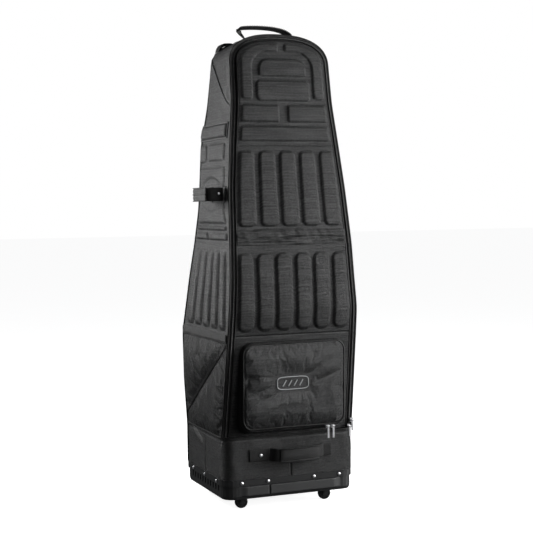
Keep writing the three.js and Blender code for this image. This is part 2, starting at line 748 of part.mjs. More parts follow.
// Side handle: a stiff loop that stands out from the left side panel, between two sewn patches.
const SIDE_HANDLE = { bottom: 828, top: 865, front: -137, rear: -20, reach: 43, leg: 4, grip: 8 };
const sideHandleMiddle = (SIDE_HANDLE.bottom + SIDE_HANDLE.top) / 2;
const sideHandleWall = -level(sideHandleMiddle).front - 3.5;

function sideHandleLoop() {
  const { bottom, top, front, rear, reach, leg } = SIDE_HANDLE;
  const wall = sideHandleWall;
  const outline = [
    [wall, front],
    [wall - reach, front],
    [wall - reach, rear],
    [wall, rear],
    [wall, rear - leg],
    [wall - reach + leg, rear - leg],
    [wall - reach + leg, front + leg],
    [wall, front + leg],
  ];
  return toGeometry(toSolid(strapSolid(outline, bottom, top, "z")));
}

function sideHandleGrip() {
  const { bottom, top, front, rear, reach, leg, grip } = SIDE_HANDLE;
  const outside = sideHandleWall - reach + leg + GAP;
  return box(outside, outside + grip, front + 12, rear - 12, bottom + 1, top - 1);
}

function sideHandlePatch(y) {
  const { front, edge, rear, back } = level(sideHandleMiddle);
  const along = (y - edge) / (back - REAR_CORNER - edge);
  const panel = -(front + (rear - front) * along) - 2 * GAP - 0.8;
  return box(sideHandleWall + GAP, panel, y - 10, y + 10, SIDE_HANDLE.bottom - 2, SIDE_HANDLE.top + 2);
}
addMesh(travelCase, "side_handle_loop", sideHandleLoop(), webbing());
addMesh(travelCase, "side_handle_grip", sideHandleGrip(), liner());
addMesh(travelCase, "side_handle_patch_front", sideHandlePatch(SIDE_HANDLE.front + 2), webbing());
addMesh(travelCase, "side_handle_patch_rear", sideHandlePatch(SIDE_HANDLE.rear - 2), webbing());

// Front handle: a webbing strap across the collar with a padded grip, hinged along its top edge.
const FRONT_HANDLE = { bottom: 135, top: 169, bulge: 24, thick: 3 };
const collarFace = -TRAY.halfDepth - GAP;

function frontHandleTab(x0, x1) {
  const { bottom, top, thick } = FRONT_HANDLE;
  return box(x0, x1, collarFace - thick, collarFace, bottom, top);
}

function frontHandleStrap() {
  const out = collarFace - FRONT_HANDLE.bulge;
  const outer = [
    [-63.5, collarFace],
    [-52, out + 9],
    [-30, out + 2],
    [15, out],
    [62, out + 4],
    [84, out + 12],
    [93.5, collarFace],
  ];
  const inner = outer.map(([x, y]) => [x, Math.min(collarFace, y + FRONT_HANDLE.thick)]);
  inner[0][0] += FRONT_HANDLE.thick;
  inner[inner.length - 1][0] -= FRONT_HANDLE.thick;
  const strap = strapSolid([...outer, ...inner.reverse()], FRONT_HANDLE.bottom, FRONT_HANDLE.top, "z");
  return toGeometry(toSolid(strap));
}

function frontHandleGrip() {
  const out = collarFace - FRONT_HANDLE.bulge;
  return box(-30, 60, out - 3.6, out - GAP, FRONT_HANDLE.bottom - 1, FRONT_HANDLE.top);
}
addMesh(travelCase, "front_handle_tab_left", frontHandleTab(-118, -64), webbing());
addMesh(travelCase, "front_handle_tab_right", frontHandleTab(94, 118), webbing());
addMesh(travelCase, "front_handle_strap", frontHandleStrap(), webbing());
addMesh(travelCase, "front_handle_grip", frontHandleGrip(), liner());

// ---- Webbing that lies on the arch ----
// A point of the arch's outer face, raised above it by height.
function archSurface(turn, y, height) {
  const top = LEVELS[LEVELS.length - 1];
  const share = Math.min(1, (y - top.edge) / (top.back - REAR_CORNER - top.edge));
  const halfWidth = top.front + (top.rear - top.front) * share + height;
  const [x, z] = archPoint(turn, halfWidth, SHELL_TOP - ARCH_BASE - REAR_DROP * share + height);
  return [x, y, z];
}

function archWebbing(turns, y0, y1, thick) {
  const sheet = (height) => turns.map((turn) => [y0, y1].map((y) => archSurface(turn, y, height)));
  return gridSolid(sheet(GAP + thick), sheet(GAP));
}

for (const [name, middle] of [
  ["left", 0.652],
  ["right", 0.348],
]) {
  const turns = [-0.03, 0, 0.03].map((step) => (middle + step) * Math.PI);
  const patch = archWebbing(turns, TOP_HANDLE.y - 17, TOP_HANDLE.y + 17, 1.4);
  addMesh(travelCase, `top_handle_patch_${name}`, patch, webbing());
}

// ---- Ring on a webbing tab at the left shoulder, resting on the slope ----
const RING = { y: 50, turn: 0.83 * Math.PI, radius: 11, wire: 2, height: 3 };
const tabTurns = [0.7, 0.735, 0.77, 0.8].map((share) => share * Math.PI);
addMesh(travelCase, "ring_tab", archWebbing(tabTurns, RING.y - 10, RING.y + 10, 2), webbing());
function hangingRing() {
  const inside = RING.radius - RING.wire;
  const outline = new THREE.Shape();
  outline.absarc(0, 0, RING.radius, Math.PI, 2 * Math.PI, false);
  outline.lineTo(RING.radius, RING.wire);
  outline.lineTo(-RING.radius, RING.wire);
  const hole = new THREE.Path();
  hole.absarc(0, 0, inside, Math.PI, 2 * Math.PI, false);
  outline.holes.push(hole);
  const options = { depth: RING.wire, bevelEnabled: false, curveSegments: 8 };
  const geometry = new THREE.ExtrudeGeometry(outline, options);
  return geometry.translate(0, 0, -RING.wire / 2).rotateX(Math.PI / 2).rotateZ(Math.PI / 2);
}
const ringTop = archSurface(RING.turn, RING.y, RING.height);
const ringSlope = archSurface(RING.turn + 0.06 * Math.PI, RING.y, RING.height);
const ringGroup = groupAt(...ringTop);
ringGroup.rotation.y = Math.atan2(ringTop[0] - ringSlope[0], ringTop[2] - ringSlope[2]);
addMesh(ringGroup, "hanging_ring", hangingRing(), plated());

// ---- Rivets on the tray's rim ----
const RIVET_Z = 80;
function rivet(axis, side) {
  const length = 2.4;
  const head = rod(5, length, axis, 10);
  const shift = side * (length / 2 + GAP);
  return axis === "x" ? head.translate(shift, 0, 0) : head.translate(0, shift, 0);
}
[-142, -67, 67, 142].forEach((x, k) => {
  addMesh(groupAt(x, -TRAY.halfDepth, RIVET_Z), `rivet_front_${k + 1}`, rivet("y", -1), plated());
});
[-105, -10, 85].forEach((y, k) => {
  addMesh(groupAt(-TRAY.halfWidth, y, RIVET_Z), `rivet_left_${k + 1}`, rivet("x", -1), plated());
});

// ---- Front casters ----
const CASTER = { x: 123, y: -107, radius: 17.5, width: 15, trail: 8, axle: 2.4, bore: 2.9, plateTop: 40.6 };
const CASTER_CROWN = { bottom: 35.7, top: 37.6, radius: 13, pin: 4 };

// The fork's origin is on the floor under its kingpin, and its wheel trails on the -X side.
function casterFork() {
  const { radius, width, trail, axle, plateTop } = CASTER;
  const { bottom, top, pin } = CASTER_CROWN;
  const gap = width / 2 + 0.7;
  const leg = 2;
  const crown = toSolid(rod(CASTER_CROWN.radius, top - bottom, "z", 16).translate(0, 0, (top + bottom) / 2));
  const outline = new THREE.Shape(
    [
      [-trail - 6, radius - 5],
      [-trail + 6, radius - 5],
      [trail, top],
      [-trail - 4, top],
    ].map(([x, z]) => new THREE.Vector2(x, z)),
  );
  const legs = [-gap, gap + leg].map((y) => {
    const plate = new THREE.ExtrudeGeometry(outline, { depth: leg, bevelEnabled: false });
    return toSolid(plate.rotateX(Math.PI / 2).translate(0, y, 0));
  });
  const shaft = toSolid(rod(axle, 2 * gap + 1, "y", 12).translate(-trail, 0, radius));
  const kingpin = toSolid(rod(pin, plateTop - top, "z", 12).translate(0, 0, (plateTop + top) / 2 - 0.2));
  return toGeometry(join(crown, ...legs, shaft, kingpin));
}

function casterPlate() {
  const half = 17;
  const plate = toSolid(box(-half, half, -half, half, CASTER_CROWN.top + GAP, CASTER.plateTop));
  const hole = toSolid(rod(CASTER_CROWN.pin + 0.6, 10, "z", 16).translate(0, 0, CASTER_CROWN.top));
  return toGeometry(cut(plate, hole));
}

function casterWheel() {
  const round = toSolid(rod(CASTER.radius, CASTER.width, "y", 28));
  const bore = toSolid(rod(CASTER.bore, CASTER.width + 2, "y", 16));
  return toGeometry(cut(round, bore));
}

for (const [name, side] of [
  ["left", -1],
  ["right", 1],
]) {
  const swivel = groupAt(side * CASTER.x + CASTER.trail, CASTER.y, 0);
  addMesh(swivel, `caster_${name}_plate`, casterPlate(), hardPlastic());
  addMesh(swivel, `caster_${name}_fork`, casterFork(), hardPlastic());
  const wheel = new THREE.Group();
  wheel.position.set(-CASTER.trail, 0, CASTER.radius);
  swivel.add(wheel);
  addMesh(wheel, `caster_${name}_wheel`, casterWheel(), wheelRubber());
}

// ---- Rear wheels in their housings ----
// The housing's origin is on the floor under its wheel.
function rearHousing() {
  const half = WELL.halfWidth;
  const front = WELL.front - REAR_WHEEL.y;
  const back = TRAY.halfDepth - 8 - REAR_WHEEL.y;
  const wall = WELL.wall;
  const bottom = TRAY.underside - 20;
  const outside = toSolid(box(-half - wall, half + wall, front - wall, back, bottom, WELL.top + wall));
  const inside = toSolid(box(-half, half, front, back + 5, 0, WELL.top));
  const axle = toSolid(rod(4, 2 * half + 2, "x", 14).translate(0, 0, REAR_WHEEL.radius));
  return toGeometry(join(cut(outside, inside), axle));
}

function rearTyre() {
  const { radius, width } = REAR_WHEEL;
  const disc = toSolid(rod(radius, width, "x", 32));
  return toGeometry(cut(disc, toSolid(rod(radius - 7, width + 2, "x", 24))));
}

function rearHub() {
  const { radius, width } = REAR_WHEEL;
  const disc = toSolid(rod(radius - 7.5, width - 2, "x", 24));
  return toGeometry(cut(disc, toSolid(rod(4.5, width + 2, "x", 14))));
}

for (const [name, side] of [
  ["left", -1],
  ["right", 1],
]) {
  const station = groupAt(side * REAR_WHEEL.x, REAR_WHEEL.y, 0);
  addMesh(station, `rear_housing_${name}`, rearHousing(), hardPlastic());
  const wheel = new THREE.Group();
  wheel.position.z = REAR_WHEEL.radius;
  station.add(wheel);
  addMesh(wheel, `rear_tyre_${name}`, rearTyre(), wheelRubber());
  addMesh(wheel, `rear_hub_${name}`, rearHub(), hardPlastic());
}

// The origin is on the floor, under the middle of the whole object's box.
travelCase.updateMatrixWorld(true);
const bounds = new THREE.Box3().setFromObject(travelCase, true);
const middle = bounds.getCenter(new THREE.Vector3());
travelCase.position.set(-middle.x, -middle.y, -bounds.min.z);

const golfTravelCase = new THREE.Group();
golfTravelCase.add(travelCase);
export default golfTravelCase;
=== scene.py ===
"""Looks of the golf travel case: woven padded shell, zips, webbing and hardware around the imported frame."""
import math

import bpy
import numpy as np
from mathutils import Matrix, Vector


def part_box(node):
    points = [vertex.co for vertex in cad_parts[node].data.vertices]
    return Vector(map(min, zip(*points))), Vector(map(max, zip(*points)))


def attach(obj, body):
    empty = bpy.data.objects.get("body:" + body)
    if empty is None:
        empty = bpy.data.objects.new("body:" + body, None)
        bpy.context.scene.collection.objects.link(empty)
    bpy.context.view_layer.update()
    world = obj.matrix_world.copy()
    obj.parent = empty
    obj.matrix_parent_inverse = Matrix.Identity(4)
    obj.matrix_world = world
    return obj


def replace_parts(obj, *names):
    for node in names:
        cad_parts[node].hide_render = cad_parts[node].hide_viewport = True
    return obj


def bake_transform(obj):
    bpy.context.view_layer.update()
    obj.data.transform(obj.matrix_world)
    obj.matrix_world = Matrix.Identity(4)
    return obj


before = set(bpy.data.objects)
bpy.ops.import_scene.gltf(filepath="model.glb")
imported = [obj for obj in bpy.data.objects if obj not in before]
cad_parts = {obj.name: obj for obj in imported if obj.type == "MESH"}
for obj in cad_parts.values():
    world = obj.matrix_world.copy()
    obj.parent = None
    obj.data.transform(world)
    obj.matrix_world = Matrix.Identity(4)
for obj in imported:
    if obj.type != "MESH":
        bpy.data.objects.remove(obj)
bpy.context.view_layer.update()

# ---- Frame: millimetres from the middle of the tray, z from the floor ----
tray_low, tray_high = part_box("base_tray")
CENTRE = np.array([(tray_low.x + tray_high.x) / 2, (tray_low.y + tray_high.y) / 2, 0.0])
WIDE, DEEP = (tray_high.x - tray_low.x) * 500, (tray_high.y - tray_low.y) * 500
ARCH_BASE, SHELL_TOP, ARCH_POWER = 1190.0, 1274.0, 2.45
ARCH_HALF, ARCH_RISE = 143.5, 84.0
ARCH_FRONT, ARCH_DEPTH = -104.0, 169.0
REAR_NARROWER, REAR_LOWER = 15.0, 3.0
DOOR_INSET = 17.0
TRAY_CORNER, REAR_CORNER = 36.0, 35.0
# Heights, from the floor up: the collar, with its thickness, the soft lower side, its strap, the door's fold.
COLLAR_LOW, COLLAR_HIGH, COLLAR_THICK = 88.6, 203.0, 3.4
SOFT_LOW, SOFT_HIGH = 202.0, 459.0
STRAP_Z = 469.0
FOLD_LOW, FOLD_HIGH = 711.0, 753.0

# The shell's outline, the same rows as the part's: z, front half width, y of the door's edge,
# rear half width, y of the back, how far the door stands forward, and how much it bulges.
ROWS = np.array([
    (200, 190.5, -141, 192, 165, 6, 15), (330, 188, -163, 197.5, 171, 6, 6),
    (465, 185.5, -185, 198, 175, 5, 2), (540, 184, -196, 189, 168, 7, 3),
    (620, 179, -192, 181, 157, 7, 3), (709, 176, -184, 169, 146, 7, 3),
    (800, 171.5, -170, 159.5, 135, 8, 4), (860, 168.5, -160, 157.5, 128, 9, 4),
    (983, 157, -143.5, 155, 117, 10, 4), (1090, 146, -130, 138, 107, 12, 4),
    (1190, 143.5, -116, 128.5, 100, 14, 4), (1274, 143.5, -104, 128.5, 100, 14, 4),
], float)
KEYS = ["front", "edge", "rear", "back", "lift", "crown"]
HEIGHTS = np.arange(200, 1275, 2.0)
SOFTENING = 14


def softened(column):
    """The rows joined by straight lines, with the corners between them rounded."""
    line = np.interp(HEIGHTS, ROWS[:, 0], column)
    before = 2 * line[0] - line[SOFTENING:0:-1]
    after = 2 * line[-1] - line[-2 : -SOFTENING - 2 : -1]
    weights = np.hanning(2 * SOFTENING + 3)[1:-1]
    return np.convolve(np.concatenate([before, line, after]), weights / weights.sum(), "valid")


PROFILE = {key: softened(ROWS[:, k + 1]) for k, key in enumerate(KEYS)}


def at(key, z):
    return np.interp(z, HEIGHTS, PROFILE[key])


def metres(points):
    return np.asarray(points, float) / 1000 + CENTRE


def box_of(node):
    """A CAD node's lowest and highest corners in millimetres."""
    return [(np.array(corner) - CENTRE) * 1000 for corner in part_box(node)]


# ---- Numbers that vary smoothly ----
def noise(u, v, seed):
    """Smooth noise from -0.5 to 0.5 with one bump per unit."""
    lattice = np.random.default_rng(seed).random((64, 64))
    iu, iv = np.floor(u).astype(int), np.floor(v).astype(int)
    fu, fv = u - iu, v - iv
    fu, fv = fu * fu * (3 - 2 * fu), fv * fv * (3 - 2 * fv)

    def pick(a, b):
        return lattice[(iu + a) % 64, (iv + b) % 64]

    low = pick(0, 0) * (1 - fu) + pick(1, 0) * fu
    high = pick(0, 1) * (1 - fu) + pick(1, 1) * fu
    return low * (1 - fv) + high * fv - 0.5


def ramp(x, low, high):
    """From 0 at low to 1 at high, with both ends eased."""
    t = np.clip((x - low) / (high - low), 0, 1)
    return t * t * (3 - 2 * t)


def ridge(distance, width):
    """1 along a line, falling to 0 over about twice the width on both sides."""
    return np.exp(-((distance / width) ** 2))


def rounded_box(u, v, u0, u1, v0, v1, radius):
    """Distance inside a rounded rectangle: positive inside, negative outside."""
    qu = np.abs(u - (u0 + u1) / 2) - (u1 - u0) / 2 + radius
    qv = np.abs(v - (v0 + v1) / 2) - (v1 - v0) / 2 + radius
    outside = np.hypot(np.maximum(qu, 0), np.maximum(qv, 0))
    return radius - outside - np.minimum(np.maximum(qu, qv), 0)


def smallest(*depths, soft=3.0):
    """The smallest of several depths, with the corners where they meet rounded."""
    return -soft * np.log(sum(np.exp(-np.clip(d, -60, 60) / soft) for d in depths))


def puffed(depth, rise, width):
    """Height of a padded area whose outline is depth away: most of it within width, the rest slowly."""
    t = np.clip(depth / width, 0, 1)
    return rise * (t * (2 - t) * 0.86 + 0.14 * np.clip(depth / 22, 0, 1))


def quilted(depths, rise, width):
    """Height over several pads, with a channel round each."""
    return puffed(np.max(depths, axis=0), rise, width)


# ---- Materials ----
class Graph:
    """A new material with its shader, and short names for the nodes that feed it."""

    def __init__(self, name):
        self.material = bpy.data.materials.new(name)
        self.material.use_nodes = True
        self.tree = self.material.node_tree
        self.tree.nodes.clear()
        self.shader = self.node("BsdfPrincipled")
        self.node("OutputMaterial", {0: self.shader.outputs[0]})
        self.place = self.node("TexCoord").outputs["Object"]
        self.uv = self.node("UVMap", uv_map="weave").outputs[0]

    def feed(self, socket, value):
        """Link a value to a socket, or set it there if it is a plain number."""
        if isinstance(value, bpy.types.NodeSocket):
            self.tree.links.new(value, socket)
        else:
            socket.default_value = value

    def node(self, kind, inputs=None, **settings):
        made = self.tree.nodes.new("ShaderNode" + kind)
        for key, value in settings.items():
            setattr(made, key, value)
        for key, value in (inputs or {}).items():
            self.feed(made.inputs[key], value)
        return made

    def math(self, operation, a, b):
        return self.node("Math", {0: a, 1: b}, operation=operation).outputs[0]

    def total(self, *values):
        result = values[0]
        for value in values[1:]:
            result = self.math("ADD", result, value)
        return result

    def weighted(self, *terms):
        """The sum of some values, each multiplied by its weight."""
        return self.total(*[self.math("MULTIPLY", value, weight) for value, weight in terms])

    def noise(self, vector, scale, detail=2.0, roughness=0.5):
        inputs = {"Vector": vector, "Scale": scale, "Detail": detail, "Roughness": roughness}
        return self.node("TexNoise", inputs).outputs[0]

    def streaks(self, stretch, detail, roughness):
        """Noise on the weave, stretched by a different number along each direction."""
        vector = self.node("Mapping", {"Vector": self.uv, "Scale": stretch}).outputs[0]
        return self.noise(vector, 1.0, detail, roughness)

    def wave(self, vector, period, direction):
        inputs = {"Vector": vector, "Scale": 0.314159 / period}
        return self.node("TexWave", inputs, wave_type="BANDS", bands_direction=direction).outputs[1]

    def remap(self, value, low, high, to_low=0.0, to_high=1.0):
        return self.node("MapRange", dict(enumerate([value, low, high, to_low, to_high]))).outputs[0]

    def colours(self, value, *stops):
        made = self.node("ValToRGB", {0: value})
        elements = made.color_ramp.elements
        while len(elements) < len(stops):
            elements.new(0.5)
        for element, (place, colour) in zip(elements, stops):
            element.position = place
            element.color = (*colour, 1)
        return made.outputs[0]

    def bump(self, height, distance, strength=1.0, before=None):
        inputs = {"Height": height, "Distance": distance, "Strength": strength}
        if before is not None:
            inputs["Normal"] = before
        return self.node("Bump", inputs).outputs[0]

    def finish(self, colour, roughness, normal, **uniform):
        """Feed the shader what varies, set what is uniform, and return the material."""
        self.feed(self.shader.inputs["Base Color"], colour)
        self.feed(self.shader.inputs["Roughness"], roughness)
        if normal is not None:
            self.feed(self.shader.inputs["Normal"], normal)
        for key, value in uniform.items():
            self.shader.inputs[SOCKETS[key]].default_value = value
        return self.material


SOCKETS = {
    "gloss": "Specular IOR Level", "metal": "Metallic", "sheen": "Sheen Weight",
    "sheen_rough": "Sheen Roughness", "glow": "Emission Strength", "glow_colour": "Emission Color",
}


def grey(level, tint=0.0):
    return (level, level * (1 + tint / 2), level * (1 + tint))


def woven(name, level, rough=0.5, pitch=0.0016, streaks=1.0, sheen=0.03, gloss=0.38):
    """Plain-woven polyester: threads over and under each other, slubs along the weft, faint creasing."""
    g = Graph(name)
    over = g.node("TexChecker", {"Vector": g.uv, "Scale": 1 / pitch}).outputs["Fac"]
    under = g.math("SUBTRACT", 1, over)
    threads = g.weighted((g.wave(g.uv, pitch, "X"), over), (g.wave(g.uv, pitch, "Y"), under))
    slubs = g.remap(g.streaks((9, 170, 1), 3.0, 0.7), 0.3, 0.7, -0.46 * streaks, 0.46 * streaks)
    twill = g.remap(g.streaks((150, 240, 1), 2.0, 0.7), 0.3, 0.7, -0.36, 0.36)
    creases = g.remap(g.noise(g.place, 14.0, 4.0, 0.55), 0.3, 0.7, -0.16, 0.16)
    wander = g.math("MULTIPLY", g.math("SUBTRACT", g.streaks((9, 9, 1), 1.0, 0.5), 0.5), 0.012)
    offset = g.node("CombineXYZ", {"Y": wander}).outputs[0]
    wandering = g.node("VectorMath", {0: g.uv, 1: offset}, operation="ADD").outputs[0]
    shots = g.remap(g.wave(wandering, 0.0072, "Y"), 0, 1, -0.16 * streaks, 0.16 * streaks)
    tone = g.total(slubs, twill, creases, shots, g.remap(threads, 0, 1, 0.42, 0.62))
    dark, light = grey(level * 0.35, 0.05), grey(level * 2.1, 0.02)
    colour = g.colours(tone, (0.0, dark), (0.5, grey(level, 0.04)), (1.0, light))
    roughness = g.remap(tone, 0, 1, rough + 0.16, rough - 0.14)
    normal = g.bump(creases, 0.008, 0.5, g.bump(slubs, 0.0012, 0.5, g.bump(threads, 0.0003)))
    return g.finish(colour, roughness, normal, gloss=gloss, sheen=sheen, sheen_rough=0.4)


def webbing(name, level, rough=0.55, pitch=0.0022):
    """Narrow woven tape: ribs along its length, crossed by fine picks."""
    g = Graph(name)
    weave = g.weighted((g.wave(g.uv, pitch, "Y"), 0.6), (g.wave(g.uv, pitch * 0.7, "DIAGONAL"), 0.4))
    wear = g.noise(g.place, 45.0, 3.0, 0.6)
    tone = g.weighted((weave, 0.45), (wear, 0.55))
    colour = g.colours(tone, (0.2, grey(level * 0.5)), (0.5, grey(level)), (0.85, grey(level * 1.9)))
    roughness = g.remap(tone, 0.2, 0.9, rough + 0.1, rough - 0.12)
    normal = g.bump(wear, 0.001, 0.4, g.bump(weave, 0.0006))
    return g.finish(colour, roughness, normal, gloss=0.3, sheen=0.03, sheen_rough=0.4)


def moulded(name, level, rough=0.42, grain=900.0, scuffs=0.25):
    """Moulded plastic: fine grain, a slightly cloudy tone, and edges made paler by use."""
    g = Graph(name)
    broad = g.noise(g.place, 9.0, 5.0, 0.6)
    edges = g.remap(g.node("NewGeometry").outputs["Pointiness"], 0.49, 0.56)
    tone = g.weighted((broad, 0.7), (edges, scuffs))
    dark, light = grey(level * 0.75, 0.04), grey(level * 2.2, 0.03)
    colour = g.colours(tone, (0.2, dark), (0.6, grey(level, 0.04)), (0.95, light))
    roughness = g.remap(tone, 0.2, 0.9, rough + 0.08, rough - 0.1)
    normal = g.bump(broad, 0.001, 0.2, g.bump(g.noise(g.place, grain, 2.0, 0.6), 0.0003, 0.5))
    return g.finish(colour, roughness, normal)


def plated(name):
    """Bright nickel plating with faint polishing marks."""
    g = Graph(name)
    stretched = g.node("Mapping", {"Vector": g.place, "Scale": (1, 1, 6)}).outputs[0]
    marks = g.noise(stretched, 260.0, 3.0, 0.6)
    colour = g.colours(g.noise(g.place, 60.0, 2.0), (0.2, (0.72, 0.72, 0.74)), (0.8, (0.9, 0.9, 0.91)))
    return g.finish(colour, g.remap(marks, 0.2, 0.8, 0.3, 0.5), g.bump(marks, 0.0002, 0.3), metal=1.0)


def thread(name, level):
    """Twisted sewing thread."""
    g = Graph(name)
    twist = g.noise(g.place, 700.0, 2.0, 0.6)
    colour = g.colours(twist, (0.3, grey(level * 0.7)), (0.7, grey(level * 1.4)))
    return g.finish(colour, 0.6, g.bump(twist, 0.0003))


def pale_floor(name):
    """A pale studio floor that glows, so that its far edge hardly shows."""
    g = Graph(name)
    colour = g.colours(g.noise(g.place, 6.0, 3.0), (0.3, grey(0.86)), (0.7, grey(0.9)))
    return g.finish(colour, 0.8, None, glow_colour=(1, 1, 1, 1), glow=0.9)


SHELL = woven("woven_shell", 0.011)
SIDE = woven("woven_side", 0.012, rough=0.46, streaks=0.5)
SOFT = woven("woven_soft", 0.006, streaks=0.35, gloss=0.22)
COLLAR = woven("woven_collar", 0.010, rough=0.48, streaks=0.4, pitch=0.0014)
POCKET = woven("woven_pocket", 0.011, rough=0.42, streaks=0.4, pitch=0.0014)
LINER = woven("knitted_liner", 0.05, rough=0.8, streaks=0.2, sheen=0.3)
TAPE = webbing("zip_tape", 0.006)
STRAP = webbing("webbing_strap", 0.0065)
PIPING = webbing("piping", 0.004, rough=0.5, pitch=0.003)
PLASTIC = moulded("moulded_plastic", 0.018)
KICK = moulded("kick_plastic", 0.032, rough=0.62)
RUBBER = moulded("wheel_rubber", 0.006, rough=0.38, grain=500.0, scuffs=0.4)
BADGE = moulded("badge_plastic", 0.02, rough=0.3, grain=1400.0)
# White that stands in for the shine of the badge's bright bars and rim: a painted glint, not a print.
PAINTED_GLINT = moulded("badge_painted_glint", 0.42, rough=0.5)
COIL = moulded("zip_coil", 0.006, rough=0.35)
METAL = plated("plated_metal")
THREAD = thread("sewing_thread", 0.03)


def placed(name, data):
    """A new object in the scene."""
    made = bpy.data.objects.new(name, data)
    bpy.context.scene.collection.objects.link(made)
    return made


# ---- Camera ----
HEADING, PITCH, ROLL = math.radians(21.981), math.radians(-2.826), -0.0128
STAND = [-1296.6, -3219.51, 816.47]
lens = bpy.data.cameras.new("camera")
lens.lens, lens.sensor_width, lens.sensor_fit = 84.0, 36.0, "HORIZONTAL"
lens.clip_start, lens.clip_end = 0.1, 60
camera = placed("camera", lens)
flat = math.cos(PITCH)
forward = np.array([math.sin(HEADING) * flat, math.cos(HEADING) * flat, math.sin(PITCH)])
level = np.array([math.cos(HEADING), -math.sin(HEADING), 0.0])
right = math.cos(ROLL) * level + math.sin(ROLL) * np.cross(level, forward)
matrix = np.eye(4)
matrix[:3, 0], matrix[:3, 1], matrix[:3, 2] = right, np.cross(right, forward), -forward
matrix[:3, 3] = metres(STAND)
camera.matrix_world = Matrix(matrix.tolist())
bpy.context.scene.camera = camera

# ---- Meshes ----
def add_piece(name, points, faces, material, body, uv=None, hides=(), lining=None, lining_from=0):
    """A closed piece from points in millimetres and triangles, facing outward, riding on its body."""
    points, faces = metres(points), np.asarray(faces)
    corners = points[faces]
    volume = np.einsum("ij,ij->i", corners[:, 0], np.cross(corners[:, 1], corners[:, 2])).sum()
    if volume < 0:
        faces = faces[:, ::-1]
    mesh = bpy.data.meshes.new(name)
    mesh.from_pydata(points.tolist(), [], faces.tolist())
    mesh.shade_smooth()
    mesh.set_sharp_from_angle(angle=math.radians(52))
    layer = mesh.uv_layers.new(name="weave")
    if uv is not None:
        uv = np.asarray(uv, float).reshape(-1, 2) / 1000
        layer.data.foreach_set("uv", uv[faces.ravel()].astype(np.float32).ravel())
    mesh.materials.append(material)
    if lining:
        mesh.materials.append(lining)
        index = np.zeros(len(faces), np.int32)
        index[lining_from:] = 1
        mesh.polygons.foreach_set("material_index", index)
    piece = placed(name, mesh)
    if body:
        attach(piece, body)
    if hides:
        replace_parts(piece, *hides)
    return piece


def points_of(x, y, z):
    """Points from their coordinates, each an array or one number for all."""
    return np.stack(np.broadcast_arrays(x, y, z), -1).astype(float)


def pairs(u, v):
    """Texture coordinates from two arrays that may need repeating."""
    return np.stack(np.broadcast_arrays(u, v), -1)


def spread(u0, u1, v0, v1, across, up):
    """Two grids of numbers that run over a rectangle, with that many rows across and up."""
    return np.meshgrid(np.linspace(u0, u1, across), np.linspace(v0, v1, up), indexing="ij")


def triangles(rows, columns, start=0, wrap_rows=False, wrap_columns=False):
    """Two triangles for each cell of a grid of points, which may close on itself."""
    cells = np.arange(rows if wrap_rows else rows - 1), np.arange(columns if wrap_columns else columns - 1)
    i, j = np.meshgrid(*cells, indexing="ij")
    down, right = (i + 1) % rows, (j + 1) % columns
    a, b, c, d = i * columns + j, down * columns + j, down * columns + right, i * columns + right
    first, second = np.stack([a, b, c], -1), np.stack([a, c, d], -1)
    return np.concatenate([first.reshape(-1, 3), second.reshape(-1, 3)]) + start


def rim_of(rows, columns):
    index = np.arange(rows * columns).reshape(rows, columns)
    return np.concatenate([index[0, :-1], index[:-1, -1], index[-1, :0:-1], index[:0:-1, 0]])


STRIDE = 6


def panel(name, outer, inner, uv, material, body, hides=(), lining=None):
    """A closed panel: a fine outer face, an inner face of every sixth point and a wall round the edge."""
    rows, columns = outer.shape[:2]
    coarse = inner[::STRIDE, ::STRIDE]
    few_rows, few_columns = coarse.shape[:2]
    count = rows * columns
    rim, few = rim_of(rows, columns), rim_of(few_rows, few_columns) + count
    walls = []
    for k in range(len(rim)):
        a, b = rim[k], rim[(k + 1) % len(rim)]
        near = few[(k + STRIDE // 2) // STRIDE % len(few)]
        after = few[(k + 1 + STRIDE // 2) // STRIDE % len(few)]
        walls.append([a, b, near])
        if after != near:
            walls.append([b, after, near])
    front = triangles(rows, columns)
    faces = np.concatenate([front, np.array(walls), triangles(few_rows, few_columns, count)[:, ::-1]])
    points = np.concatenate([outer.reshape(-1, 3), coarse.reshape(-1, 3)])
    uv = np.concatenate([uv.reshape(-1, 2), uv[::STRIDE, ::STRIDE].reshape(-1, 2)])
    return add_piece(name, points, faces, material, body, uv, hides, lining, len(front) + len(walls))


def normals(grid, away):
    """Unit normals of a grid of points, on the side that away points to."""
    n = np.cross(np.gradient(grid, axis=0), np.gradient(grid, axis=1))
    n /= np.maximum(np.linalg.norm(n, axis=-1, keepdims=True), 1e-9)
    return n * np.where((n * away).sum(-1, keepdims=True) < 0, -1, 1)


def raised(base, height, away):
    """A grid of points moved out along its normals by a height."""
    return base + normals(base, away) * height[..., None]


def counted(length, step):
    """How many points cover a length at about that step, with whole strides between them."""
    return STRIDE * max(2, round(length / step / STRIDE)) + 1


def lengths(path):
    """The distance along a path to each of its points."""
    return np.concatenate([[0], np.cumsum(np.linalg.norm(np.diff(path, axis=0), axis=1))])


def resampled(path, places):
    """The points at some distances along a path."""
    along = lengths(path)
    return np.stack([np.interp(places, along, column) for column in np.transpose(path)], -1)


def directions(path, up):
    """Sideways and upward directions along a path; up is a rough direction, or one for each point."""
    tangent = np.gradient(path, axis=0)
    tangent /= np.linalg.norm(tangent, axis=1)[:, None]
    side = np.cross(tangent, up)
    side /= np.linalg.norm(side, axis=1)[:, None]
    return side, np.cross(side, tangent)


